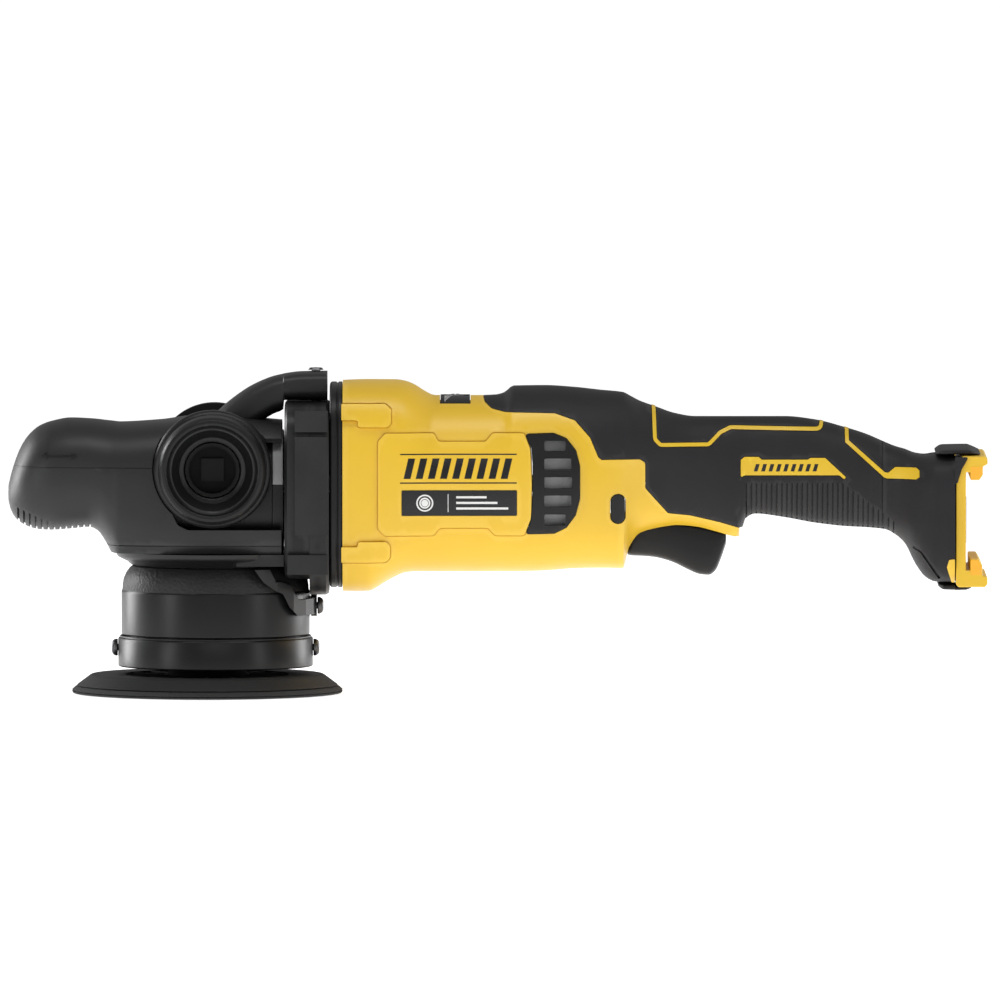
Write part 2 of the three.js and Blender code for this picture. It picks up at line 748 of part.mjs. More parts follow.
// The lower cover of the gear case, which carries the spindle bearing.
const BASE = [
  [0, 58.9],
  [38.4, 58.9],
  [40.8, 60.8],
  [45.4, 63.2],
  [46.2, 65.4],
  [30.4, 65.4],
  [30.4, 70.0],
  [0, 70.0],
];
function caseBase() {
  return turned(BASE, "z", [0, 0, 0], 32)
    .add(box(10, 40, -41, 41, 60.0, 65.4))
    .subtract(box(31.9, 70, -60, 60, 40, 80))
    .subtract(rod(15.3, 40, 68.4, "z", [0, 0, 0], 24))
    .subtract(rod(9, 40, 80, "z", [0, 0, 0], 24));
}
add("crown_gear", crownGear(), STEEL);
add("pinion", pinion(), STEEL);
add("spindle", spindle(), STEEL);
add("counterweight", counterweight(), STEEL);
add("gear_case_base", caseBase(), BLACK);
add("spindle_bearing", ring(6.3, 15, 57, 68, "z", [0, 0, 0], 24), STEEL);
add("pad_bearing", ring(5.3, 11.1, 12.4, 23, "z", padAxis, 20), STEEL);
add("backing_plate", turned(BACKING, "z", padAxis, 32), BLACK);
const foam = [[0, 1.2], [62.6, 1.2], [60.7, 3.2], [0, 3.2]];
add("pad_foam", turned(foam, "z", padAxis, 36), FOAM);
add("hook_face", turned([[0, 0], [62.0, 0], [62.6, 0.9], [0, 0.9]], "z", padAxis, 36), FOAM);

// ---- motor ----
const motorAt = [0, 0, ROTOR_Z];

function fan() {
  let body = ring(4.3, 9, 62.5, 75, "x", motorAt, 16).add(ring(8, 33, 62.5, 64.3, "x", motorAt, 20));
  for (let i = 0; i < 7; i++) {
    const blade = new THREE.BoxGeometry(9, 1.4, 23.5);
    blade.translate(68.5, 0, 20.6);
    blade.rotateX((2 * Math.PI * i) / 7);
    blade.translate(0, 0, ROTOR_Z);
    body = body.add(solid(blade));
  }
  return body;
}

function stator() {
  let body = ring(15.2, 22.6, 96, 138, "x", motorAt, 24);
  for (let i = 0; i < 6; i++) {
    const key = new THREE.BoxGeometry(36, 6, 4);
    key.translate(117, 0, 22.4);
    key.rotateX((Math.PI * i) / 3 + Math.PI / 6);
    key.translate(0, 0, ROTOR_Z);
    body = body.add(solid(key));
  }
  return body;
}

add("rotor_shaft", rod(4, 16.5, 169, "x", motorAt, 16), STEEL);
add("rotor_core", ring(4.3, 14.6, 97, 137, "x", motorAt, 20), STEEL);
add("cooling_fan", fan(), BLACK);
add("stator", stator(), COPPER);
add("motor_bearing_front", ring(4.3, 13.1, 33.2, 43, "x", motorAt, 20), STEEL);
add("motor_bearing_rear", ring(4.3, 9.4, 160, 167, "x", motorAt, 16), STEEL);
add("air_baffle", ring(14, 34, 78, 80, "x", motorAt, 24), BLACK);

// ---- controls ----
const TRIGGER = [
  [190.8, 63.6, 71.0, 9.4, 2.8],
  [192.6, 63.2, 76.0, 10.6, 3.0],
  [197.5, 63.0, 84.0, 11.0, 3.2],
  [203.0, 62.5, 84.0, 11.0, 3.2],
  [213.0, 59.6, 82.6, 11.0, 3.2],
  [219.0, 56.6, 81.8, 11.0, 3.2],
  [228.4, 54.2, 80.2, 11.0, 3.2],
  [231.4, 56.2, 79.4, 10.8, 3.1],
  [234.2, 62.4, 78.4, 10.4, 3.0],
  [236.3, 68.6, 77.0, 9.4, 2.8],
];
add("trigger", loft(TRIGGER, 18).subtract(rod(2.5, -20, 20, "y", TRIGGER_PIVOT, 12)), BLACK);
add("trigger_pin", rod(2, -15.5, 15.5, "y", TRIGGER_PIVOT, 12), STEEL);
const switchBox = box(204, 240, -9.8, 9.8, 92, 113);
add("switch_body", switchBox.add(box(218, 224, -4, 4, 89.6, 93)), BLACK);
add("control_module", box(252, 286, -9, 9, 94.5, 111.5), GREY);
const buttonBar = plate(lockOutline(0), -60, 60);
add("lock_button", buttonBar.intersect(loft(grown(BODY, 0.8))), BLACK);

function dial() {
  let body = turned(
    [[0, -5.6], [7.4, -5.6], [8.7, -4.6], [8.7, 4.6], [7.4, 5.6], [0, 5.6]],
    "y",
    DIAL_AT,
    20,
  );
  for (let i = 0; i < 10; i++) {
    const notch = new THREE.BoxGeometry(1.2, 12, 1.4);
    notch.translate(0, 0, 8.9);
    notch.rotateY((Math.PI * i) / 5);
    notch.translate(...DIAL_AT);
    body = body.subtract(solid(notch));
  }
  return body;
}
add("speed_dial", dial(), GREY);
add("dial_bezel", bezelBlank(0).subtract(box(104.7, 117.3, -6, 6, 120, 150)), BLACK);

// ---- battery foot ----
const RECEPTACLE = [
  [342.2, 51.6],
  [343.4, 50.3],
  [355.6, 50.3],
  [356.8, 51.6],
  [356.8, 54.8],
  [354.4, 55.8],
  [354.4, 60.2],
  [352.6, 63.2],
  [348.8, 63.2],
  [348.8, 58.0],
  [346.8, 58.0],
  [346.8, 103.4],
  [348.8, 103.4],
  [348.8, 99.8],
  [353.0, 99.8],
  [354.6, 102.2],
  [354.6, 106.0],
  [356.8, 107.2],
  [356.8, 109.6],
  [355.6, 110.7],
  [345.6, 110.7],
  [342.2, 107.4],
];
const terminalWindow = box(340, 350, -19.4, 19.4, 69.6, 91.4);
add("battery_receptacle", plate(RECEPTACLE, -37, 37).subtract(terminalWindow), YELLOW);

function terminals() {
  let body = box(340.2, 341.9, -21.5, 21.5, 68, 93).add(box(341.8, 347.3, -19, 19, 70, 91));
  for (const z of [72.4, 77.4, 82.4, 87.4]) body = body.subtract(box(344.6, 360, -17, 17, z, z + 1.4));
  return body;
}
add("terminal_block", terminals(), BLACK);

const BUMPER_TOP = [
  [334.4, 111.0, 112.2, 19, 4],
  [337.0, 111.0, 113.7, 23, 4],
  [347.6, 111.0, 113.9, 23, 4],
  [351.2, 111.0, 112.4, 19, 4],
];
const BUMPER_LOW = [
  [334.4, 49.6, 51.2, 19, 4],
  [336.6, 48.1, 51.2, 23, 4],
  [341.9, 47.9, 51.2, 23, 4],
];
const BUMPER_TAIL = [
  [341.6, 47.9, 49.9, 23, 4],
  [347.0, 48.0, 49.9, 23, 4],
  [349.6, 48.9, 49.9, 19, 4],
];
add("foot_bumper_top", loft(BUMPER_TOP, 12), RUBBER);
add("foot_bumper_low", loft(BUMPER_LOW, 12).add(loft(BUMPER_TAIL, 12)), RUBBER);

export default group;
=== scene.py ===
"""Battery rotary polisher: the visible pieces around the CAD frame. Lengths in the tables are in millimetres."""
import math

import bmesh
import bpy
from mathutils import Matrix, Vector
from mathutils.geometry import tessellate_polygon


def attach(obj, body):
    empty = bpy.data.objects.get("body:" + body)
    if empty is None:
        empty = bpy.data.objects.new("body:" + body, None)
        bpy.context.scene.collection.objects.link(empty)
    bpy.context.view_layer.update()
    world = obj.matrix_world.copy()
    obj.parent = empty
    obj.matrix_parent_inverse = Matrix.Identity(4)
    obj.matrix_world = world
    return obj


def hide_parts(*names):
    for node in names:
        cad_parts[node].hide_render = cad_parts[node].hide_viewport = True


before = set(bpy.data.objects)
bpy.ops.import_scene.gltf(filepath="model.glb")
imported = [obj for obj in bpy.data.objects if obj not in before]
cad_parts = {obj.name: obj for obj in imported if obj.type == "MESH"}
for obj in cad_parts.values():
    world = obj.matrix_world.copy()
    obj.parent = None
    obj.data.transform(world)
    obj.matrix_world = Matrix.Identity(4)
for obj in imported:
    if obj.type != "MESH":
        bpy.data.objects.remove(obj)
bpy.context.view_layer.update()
MM = 0.001
SEAM_WIDTH = 0.32
ROTOR_AXIS = (0, 0, 96.5)
HUB = (-0.9, 0, 105.0)  # middle of the side-handle sockets
PAD = (-3.75, -6.5, 0.0)  # the pad's axis, off the spindle's
DIAL = (111, 0, 129.3)  # the speed dial's axle
LOCK_X, LOCK_LOW, LOCK_TOP, LOCK_RADIUS = 186.2, 82.9, 89.7, 3.2
ARCH_SCREW = (46.5, 0, 0)
TRIGGER_PIN = (197.5, 0, 79.5)
SKIRT_SCREW_Z, BRACKET_SCREW_Z = 20.6, 40.0

# x, bottom z, top z, half width, squareness
BODY = [
    (59.0, 47.0, 144.2, 43.0, 3.4), (66.0, 47.0, 144.5, 43.0, 3.4), (71.0, 47.1, 144.6, 43.0, 3.4),
    (74.5, 48.6, 144.6, 42.8, 3.3), (78.0, 50.8, 144.6, 42.6, 3.2), (83.1, 53.6, 144.6, 42.0, 3.0),
    (87.7, 55.4, 144.0, 41.6, 2.8), (92.4, 55.9, 142.2, 41.2, 2.6), (97.0, 55.9, 139.3, 40.8, 2.5),
    (101.6, 55.9, 137.4, 40.5, 2.4), (124.0, 55.9, 137.4, 40.4, 2.4), (130.0, 55.9, 137.7, 40.3, 2.4),
    (133.6, 55.9, 138.7, 40.3, 2.4), (138.0, 55.9, 141.8, 40.2, 2.5), (152.6, 56.3, 142.0, 39.8, 2.5),
    (166.0, 57.3, 141.2, 39.0, 2.5), (178.0, 57.5, 139.9, 37.2, 2.5), (188.8, 57.3, 138.8, 34.0, 2.5),
    (191.2, 66.0, 137.6, 32.8, 2.5), (196.5, 73.0, 134.8, 30.4, 2.5), (203.5, 74.9, 132.3, 27.8, 2.5),
    (212.8, 76.0, 129.1, 24.9, 2.5), (222.0, 74.9, 127.7, 22.6, 2.5), (232.0, 71.8, 127.7, 20.9, 2.5),
    (241.5, 69.0, 127.7, 20.0, 2.5), (245.2, 80.3, 127.7, 19.8, 2.5), (249.8, 82.6, 127.7, 19.6, 2.5),
    (263.7, 80.9, 127.7, 19.5, 2.5), (277.5, 78.4, 126.2, 19.5, 2.5), (291.5, 76.8, 122.6, 19.5, 2.5),
    (301.0, 76.3, 119.6, 19.6, 2.5), (310.0, 75.4, 115.7, 20.6, 2.5), (314.6, 73.1, 113.8, 22.6, 2.8),
    (319.2, 68.9, 112.4, 26.2, 3.2), (323.9, 59.6, 110.5, 31.0, 3.8), (328.5, 53.8, 109.8, 35.5, 4.5),
    (333.0, 51.8, 110.3, 38.4, 5.0), (341.8, 51.6, 110.6, 39.0, 5.0),
]
HOLLOW = [
    (57.0, 53, 139, 37.8, 3.0), (85.0, 60, 138, 36.2, 2.7), (98.0, 61, 131.8, 35.4, 2.5),
    (126.0, 61, 131.8, 35.2, 2.4), (185.0, 62.6, 132.0, 29.0, 2.4), (192.0, 80, 130.5, 26.5, 2.5),
    (210.0, 83, 123.2, 19.6, 2.5), (232.0, 83, 122.3, 15.4, 2.5), (252.0, 88, 122.3, 14.4, 2.5),
    (290.0, 83, 116.8, 14.2, 2.5), (311.0, 81, 109.0, 15.0, 2.5), (322.0, 74, 106.2, 22.0, 3.0),
    (332.0, 58, 105.6, 31.0, 4.0), (344.0, 56, 106.0, 33.5, 5.0),
]
HEAD = [
    (-95.8, 88.5, 96.0, 9.0, 2.2), (-95.0, 85.0, 99.7, 14.0, 2.2), (-92.4, 80.5, 108.2, 20.5, 2.3),
    (-89.6, 78.2, 114.6, 25.0, 2.3), (-86.0, 76.5, 119.6, 28.5, 2.4), (-81.3, 75.4, 123.4, 31.5, 2.4),
    (-75.7, 75.2, 125.5, 33.6, 2.5), (-67.0, 75.8, 127.0, 35.2, 2.5), (-58.0, 76.6, 126.6, 36.4, 2.6),
    (-54.5, 75.0, 126.3, 37.0, 2.6), (-50.7, 69.8, 125.8, 37.8, 2.7), (-47.4, 63.4, 125.4, 38.6, 2.9),
    (-44.4, 58.0, 125.0, 39.6, 3.1), (-25.0, 54.0, 126.0, 41.5, 3.5), (-12.0, 52.7, 127.6, 42.0, 3.6),
    (4.0, 52.7, 127.8, 42.0, 3.6), (30.8, 52.7, 125.8, 42.0, 3.6),
]
HEAD_HOLLOW = [
    (-91.0, 86, 100, 16.0, 2.3), (-82.0, 79, 118.5, 27.5, 2.4), (-68.0, 79, 123.0, 31.6, 2.5),
    (-54.0, 79, 122.6, 33.2, 2.6), (-45.0, 67, 121.5, 35.4, 2.9), (-36.0, 50, 121.2, 37.0, 3.2),
    (-12.0, 50, 123.4, 38.4, 3.5), (33.0, 50, 121.8, 38.4, 3.5),
]
ARCH = [
    (-8.0, 112, 127.4, 12.0, 2.6), (0.0, 114, 129.6, 13.5, 2.7), (5.0, 116, 133.8, 14.0, 2.8),
    (10.5, 118.6, 138.0, 14.2, 2.9), (16.0, 121.8, 141.6, 14.4, 3.0), (22.0, 126.0, 144.5, 14.6, 3.1),
    (27.0, 129.0, 146.3, 14.8, 3.2), (31.4, 131.0, 147.3, 15.0, 3.3), (31.8, 135.3, 147.4, 15.0, 3.4),
    (40.0, 135.3, 148.4, 15.0, 3.5), (51.8, 135.3, 148.6, 15.0, 3.6),
]
CASE = [(-35.0, 66.0, 117.5, 32.0, 3.2), (-30.0, 65.8, 119.5, 34.5, 3.4), (31.6, 65.8, 121.0, 35.5, 3.6)]
COLLAR = [
    (32.2, 53.8, 133.6, 44.6, 4.6), (33.4, 53.2, 134.8, 45.8, 4.8), (43.7, 53.0, 134.9, 46.0, 4.8),
    (43.8, 45.8, 134.9, 46.0, 4.8), (51.4, 45.8, 134.9, 46.0, 4.8), (52.7, 46.6, 134.1, 45.2, 4.6),
]
ADAPTER = [
    (53.0, 49.6, 142.6, 42.0, 3.6), (53.8, 48.8, 143.4, 42.6, 3.6), (56.0, 48.8, 143.4, 42.6, 3.6),
    (56.2, 49.3, 142.9, 42.1, 3.6), (56.8, 49.3, 142.9, 42.1, 3.6), (57.0, 48.8, 143.4, 42.6, 3.6),
    (58.7, 48.8, 143.4, 42.6, 3.6),
]
TRIGGER = [
    (190.8, 63.6, 71.0, 9.4, 2.8), (192.6, 63.2, 76.0, 10.6, 3.0), (197.5, 63.0, 84.0, 11.0, 3.2),
    (203.0, 62.5, 84.0, 11.0, 3.2), (208.0, 61.4, 83.2, 11.0, 3.2), (213.0, 59.6, 82.6, 11.0, 3.2),
    (219.0, 56.6, 81.8, 11.0, 3.2), (224.5, 54.5, 81.0, 11.0, 3.2), (228.4, 54.2, 80.2, 11.0, 3.2),
    (231.4, 56.2, 79.4, 10.8, 3.1), (234.2, 62.4, 78.4, 10.4, 3.0), (236.3, 68.6, 77.0, 9.4, 2.8),
]
# outlines in the side plane: x, z
GRIP_EDGE = [
    (123.9, 138.1), (124.8, 135.3), (128.0, 132.5), (134.0, 131.1), (157.2, 130.6), (166.4, 127.4),
    (173.4, 119.5), (177.1, 110.7), (178.5, 109.3), (196.5, 109.3), (198.9, 107.6), (198.9, 95.9),
    (209.5, 83.9), (219.7, 82.8), (233.6, 79.5), (242.6, 76.8),
]
PIPING_FRONT = [
    (202.6, 137.0), (203.3, 118.2), (205.8, 115.5), (228.2, 115.5), (233.5, 120.9), (238.3, 123.2),
    (279.8, 122.4), (281.2, 129.0),
]
BADGE = [
    (243.0, 100.3), (243.0, 108.3), (244.8, 109.7), (251.3, 109.7), (252.7, 108.4), (273.9, 108.4),
    (275.3, 109.2), (282.0, 109.2), (291.6, 100.3), (290.8, 99.3), (288.5, 101.2), (244.8, 101.2),
]
SCREEN = [
    (143.4, 121.0), (156.3, 121.4), (162.3, 119.0), (166.6, 113.5), (168.4, 106.4), (168.4, 91.1),
    (166.4, 83.7), (162.3, 78.0), (156.8, 75.2), (143.6, 74.9), (146.1, 81.4), (146.8, 91.1),
    (146.8, 106.4), (146.1, 115.0),
]
SIDE_PANEL = [
    (75.4, 117.9), (75.4, 77.5), (78.7, 74.2), (101.1, 74.2), (103.8, 77.8), (126.2, 77.8),
    (129.5, 74.2), (142.9, 74.2), (146.0, 82.4), (146.3, 98.0), (145.6, 114.3), (142.8, 121.5),
    (128.4, 121.5), (125.1, 117.6), (103.3, 117.6), (101.1, 121.5), (78.7, 121.5),
]
CORNER_RIB = [
    (58, 135.0), (78.7, 135.0), (81.4, 132.6), (81.4, 126.1), (79.8, 124.4), (66.1, 124.4),
    (66.1, 127.6), (58, 127.6),
]
LOWER_RIB = [
    (58, 69.0), (66.1, 69.0), (66.1, 71.4), (79.2, 71.4), (81.0, 69.4), (81.0, 64.0), (79.0, 61.8),
    (58, 61.8),
]
CASE_WINDOW = [(-19.5, 119.0), (-19.5, 84.0), (-17.0, 79.0), (-12.4, 76.8), (34.0, 76.8), (34.0, 119.0)]
# low z, high z, end x
SLOTS = [(78.9, 84.0, 162.0), (87.5, 92.8, 164.6), (96.0, 101.3, 164.9), (104.7, 109.9, 164.6),
         (113.2, 118.0, 162.0)]
RECEPTACLE = [
    (342.2, 51.6), (343.4, 50.3), (355.6, 50.3), (356.8, 51.6), (356.8, 54.8), (354.4, 55.8),
    (354.4, 60.2), (352.6, 63.2), (348.8, 63.2), (348.8, 58.0), (346.8, 58.0), (346.8, 103.4),
    (348.8, 103.4), (348.8, 99.8), (353.0, 99.8), (354.6, 102.2), (354.6, 106.0), (356.8, 107.2),
    (356.8, 109.6), (355.6, 110.7), (345.6, 110.7), (342.2, 107.4),
]


# ---- materials ----
def node(tree, kind, **values):
    made = tree.nodes.new(kind)
    for key, value in values.items():
        if key in made.inputs:
            made.inputs[key].default_value = value
        else:
            setattr(made, key, value)
    return made


def material(name, color, other, rough=(0.4, 0.6), grain=900.0, bump=0.15, depth=0.05, wear=0.25,
             wear_color=None, metal=0.0, coat=0.0, pattern=None, shine=0.5):
    """A moulded or metal surface: mottled colour, uneven gloss, grain in the bump and paler worn edges."""
    made = bpy.data.materials.new(name)
    made.use_nodes = True
    tree = made.node_tree
    shader = tree.nodes["Principled BSDF"]
    link = tree.links.new
    place = node(tree, "ShaderNodeTexCoord")
    broad = node(tree, "ShaderNodeTexNoise", Scale=55.0, Detail=4.0)
    fine = node(tree, "ShaderNodeTexNoise", Scale=grain, Detail=3.0)
    link(place.outputs["Object"], broad.inputs["Vector"])
    link(place.outputs["Object"], fine.inputs["Vector"])
    mix = node(tree, "ShaderNodeMix", data_type="RGBA")
    mix.inputs[6].default_value = (*color, 1)
    mix.inputs[7].default_value = (*other, 1)
    link(broad.outputs["Fac"], mix.inputs[0])
    shape = node(tree, "ShaderNodeNewGeometry")
    edge = node(tree, "ShaderNodeMapRange", **{"From Min": 0.53, "From Max": 0.62, "To Max": wear})
    link(shape.outputs["Pointiness"], edge.inputs["Value"])
    patch = node(tree, "ShaderNodeMath", operation="MULTIPLY")
    link(edge.outputs["Result"], patch.inputs[0])
    link(broad.outputs["Fac"], patch.inputs[1])
    worn = node(tree, "ShaderNodeMix", data_type="RGBA")
    pale = wear_color or tuple(min(1.0, c * 1.6 + 0.05) for c in color)
    worn.inputs[7].default_value = (*pale, 1)
    link(mix.outputs[2], worn.inputs[6])
    link(patch.outputs["Value"], worn.inputs[0])
    link(worn.outputs[2], shader.inputs["Base Color"])
    gloss = node(tree, "ShaderNodeMapRange", **{"To Min": rough[0], "To Max": rough[1]})
    link(broad.outputs["Fac"], gloss.inputs["Value"])
    link(gloss.outputs["Result"], shader.inputs["Roughness"])
    relief = node(tree, "ShaderNodeBump", Strength=bump, Distance=depth * MM)
    source = fine.outputs["Fac"]
    if pattern == "weave":
        wires = []
        for turn in (0.785, -0.785):
            turned = node(tree, "ShaderNodeVectorRotate", rotation_type="Y_AXIS", Angle=turn)
            wave = node(tree, "ShaderNodeTexWave", Scale=520.0)
            link(place.outputs["Object"], turned.inputs["Vector"])
            link(turned.outputs["Vector"], wave.inputs["Vector"])
            wires.append(wave)
        top = node(tree, "ShaderNodeMath", operation="MAXIMUM")
        link(wires[0].outputs["Fac"], top.inputs[0])
        link(wires[1].outputs["Fac"], top.inputs[1])
        source = top.outputs["Value"]
        dark = node(tree, "ShaderNodeMix", data_type="RGBA", blend_type="MULTIPLY")
        dark.inputs[0].default_value = 0.6
        link(worn.outputs[2], dark.inputs[6])
        link(source, dark.inputs[7])
        link(dark.outputs[2], shader.inputs["Base Color"])
    if pattern == "cells":
        cells = node(tree, "ShaderNodeTexVoronoi", Scale=grain)
        link(place.outputs["Object"], cells.inputs["Vector"])
        source = cells.outputs["Distance"]
    link(source, relief.inputs["Height"])
    link(relief.outputs["Normal"], shader.inputs["Normal"])
    shader.inputs["Metallic"].default_value = metal
    shader.inputs["Specular IOR Level"].default_value = shine
    shader.inputs["Coat Weight"].default_value = coat
    shader.inputs["Coat Roughness"].default_value = 0.25
    return made


MAT = {
    "yellow": material("yellow_shell", (0.75, 0.47, 0.020), (0.71, 0.44, 0.016), (0.34, 0.46), 1500, 0.10,
                       0.03, 0.25, (1.0, 0.72, 0.16), coat=0.1),
    "accent": material("accent_yellow", (0.72, 0.47, 0.018), (0.66, 0.42, 0.015), (0.36, 0.5), 1800, 0.08),
    # the rail hooks' colour is painted shade: the housing yellow made darker and redder, as it looks deep in the
    # receptacle
    "shaded_rail_yellow": material("rail_yellow_painted_shade", (0.88, 0.42, 0.02), (0.82, 0.36, 0.016), (0.4, 0.55), 1500, 0.12),
    "rubber": material("soft_grip", (0.015, 0.0145, 0.016), (0.011, 0.0105, 0.012), (0.52, 0.68), 2200, 0.30,
                       0.06, 0.35, shine=0.28),
    "nose": material("nose_rubber", (0.011, 0.011, 0.0115), (0.008, 0.008, 0.0085), (0.40, 0.55), 1900, 0.25,
                     0.05, 0.35, shine=0.42),
    "black": material("black_plastic", (0.007, 0.007, 0.0075), (0.005, 0.005, 0.0055), (0.32, 0.46), 1700, 0.22,
                      0.05, 0.35, shine=0.28),
    "skirt": material("skirt_plastic", (0.006, 0.006, 0.0065), (0.0045, 0.0045, 0.005), (0.27, 0.38), 1400, 0.25,
                      0.06, 0.35, shine=0.30),
    "coarse": material("coarse_plastic", (0.016, 0.016, 0.017), (0.011, 0.011, 0.012), (0.42, 0.58), 700, 0.7,
                       0.25, 0.2, pattern="cells", shine=0.3),
    "pad": material("pad_plastic", (0.014, 0.014, 0.0145), (0.010, 0.010, 0.0105), (0.5, 0.65), 1300, 0.3, 0.06,
                    shine=0.3),
    "foam": material("pad_foam", (0.014, 0.014, 0.015), (0.022, 0.022, 0.023), (0.8, 0.95), 1600, 0.9, 0.3,
                     pattern="cells"),
    "hook": material("hook_fabric", (0.012, 0.012, 0.012), (0.03, 0.03, 0.03), (0.85, 1.0), 2600, 1.0, 0.4,
                     pattern="cells"),
    "dark": material("dark_insert", (0.006, 0.006, 0.006), (0.010, 0.010, 0.010), (0.5, 0.7), 1800, 0.2,
                     shine=0.08),
    "grey": material("grey_plastic", (0.16, 0.16, 0.17), (0.11, 0.11, 0.12), (0.42, 0.58), 1600, 0.2),
    "mesh": material("woven_screen", (0.50, 0.50, 0.50), (0.40, 0.40, 0.41), (0.4, 0.5), 900, 0.7, 0.15,
                     metal=0.2, pattern="weave"),
    "alloy": material("cast_alloy", (0.34, 0.34, 0.34), (0.26, 0.26, 0.26), (0.4, 0.56), 1200, 0.4, 0.08, metal=0.6),
    "steel": material("machined_steel", (0.42, 0.42, 0.43), (0.30, 0.30, 0.31), (0.24, 0.42), 2400, 0.15, 0.03,
                      metal=1.0),
    "zinc": material("dark_screw", (0.10, 0.10, 0.105), (0.07, 0.07, 0.075), (0.25, 0.4), 2000, 0.15, 0.03,
                     metal=0.9),
    "copper": material("windings", (0.42, 0.17, 0.08), (0.30, 0.12, 0.06), (0.3, 0.5), 1500, 0.6, 0.2,
                       metal=0.7, pattern="weave"),
    "label": material("label_film", (0.010, 0.010, 0.011), (0.014, 0.014, 0.015), (0.22, 0.34), 2500, 0.05,
                      shine=0.3),
    "print": material("white_print", (0.75, 0.75, 0.74), (0.66, 0.66, 0.65), (0.4, 0.55), 2000, 0.05),
}


# ---- mesh helpers ----
def slopes(xs, ys):
    """End and inner slopes of a monotone cubic through the points."""
    step = [(ys[i + 1] - ys[i]) / (xs[i + 1] - xs[i]) for i in range(len(xs) - 1)]
    inner = []
    for a, b in zip(step, step[1:]):
        inner.append(0.0 if a * b <= 0 else 2 * a * b / (a + b))
    return [step[0]] + inner + [step[-1]]


def sampler(table):
    """The table's four values at any x, on monotone cubics through its rows."""
    xs = [row[0] for row in table]
    columns = [[row[k] for row in table] for k in range(1, 5)]
    tangents = [slopes(xs, ys) for ys in columns]

    def at(x):
        i = max(0, min(len(xs) - 2, sum(1 for v in xs[1:] if v <= x)))
        h = xs[i + 1] - xs[i]
        t = max(0.0, min(1.0, (x - xs[i]) / h))
        a, b = (1 + 2 * t) * (1 - t) ** 2, t * (1 - t) ** 2
        c, d = t * t * (3 - 2 * t), t * t * (t - 1)
        return [a * y[i] + b * h * m[i] + c * y[i + 1] + d * h * m[i + 1] for y, m in zip(columns, tangents)]

    return at


def stations(table, step):
    """Every row's x and enough places between to be no more than step apart."""
    out = []
    for a, b in zip(table, table[1:]):
        count = max(1, math.ceil((b[0] - a[0]) / step))
        out += [a[0] + (b[0] - a[0]) * k / count for k in range(count)]
    return out + [table[-1][0]]


def obj_from(name, verts, faces):
    """An object with its faces turned outwards."""
    mesh = bpy.data.meshes.new(name)
    mesh.from_pydata([tuple(c * MM for c in v) for v in verts], [], faces)
    mesh.validate()
    shape = bmesh.new()
    shape.from_mesh(mesh)
    bmesh.ops.recalc_face_normals(shape, faces=shape.faces)
    shape.to_mesh(mesh)
    shape.free()
    made = bpy.data.objects.new(name, mesh)
    bpy.context.scene.collection.objects.link(made)
    return made


def loft(name, table, d=0.0, e=0.0, sides=88, step=2.5):
    """Superellipse rings along x through the table, moved out by d, with the ends moved by e."""
    at = sampler(table)
    xs = stations(table, step)
    verts, faces = [], []
    for k, x in enumerate(xs):
        low, high, half, power = at(x)
        x += -e if k == 0 else e if k == len(xs) - 1 else 0
        for i in range(sides):
            turn = 2 * math.pi * i / sides
            c, s = math.cos(turn), math.sin(turn)
            y = (half + d) * math.copysign(abs(c) ** (2 / power), c)
            z = (high - low + 2 * d) / 2 * math.copysign(abs(s) ** (2 / power), s)
            verts.append((x, y, (low + high) / 2 + z))
    for k in range(len(xs) - 1):
        for i in range(sides):
            j = (i + 1) % sides
            faces.append((k * sides + i, k * sides + j, (k + 1) * sides + j, (k + 1) * sides + i))
    faces.append(tuple(range(sides)))
    faces.append(tuple(range((len(xs) - 1) * sides, len(xs) * sides)))
    return obj_from(name, verts, faces)


def clip(table, lo, hi):
    """The part of a table between two x values."""
    at = sampler(table)
    lo, hi = max(lo, table[0][0]), min(hi, table[-1][0])
    rows = [row for row in table if lo + 0.5 < row[0] < hi - 0.5]
    return [(lo, *at(lo))] + rows + [(hi, *at(hi))]


def prism(name, outline, y0, y1):
    """A side-plane outline between two depths."""
    n = len(outline)
    verts = [(x, y0, z) for x, z in outline] + [(x, y1, z) for x, z in outline]
    faces = [(i, (i + 1) % n, n + (i + 1) % n, n + i) for i in range(n)]
    for tri in tessellate_polygon([[Vector((x, z, 0)) for x, z in outline]]):
        faces += [tuple(tri), tuple(n + k for k in tri)]
    return obj_from(name, verts, faces)


def rectangle(x0, x1, z0, z1):
    return [(x0, z0), (x1, z0), (x1, z1), (x0, z1)]


def box(name, x0, x1, y0, y1, z0, z1):
    return prism(name, rectangle(x0, x1, z0, z1), y0, y1)


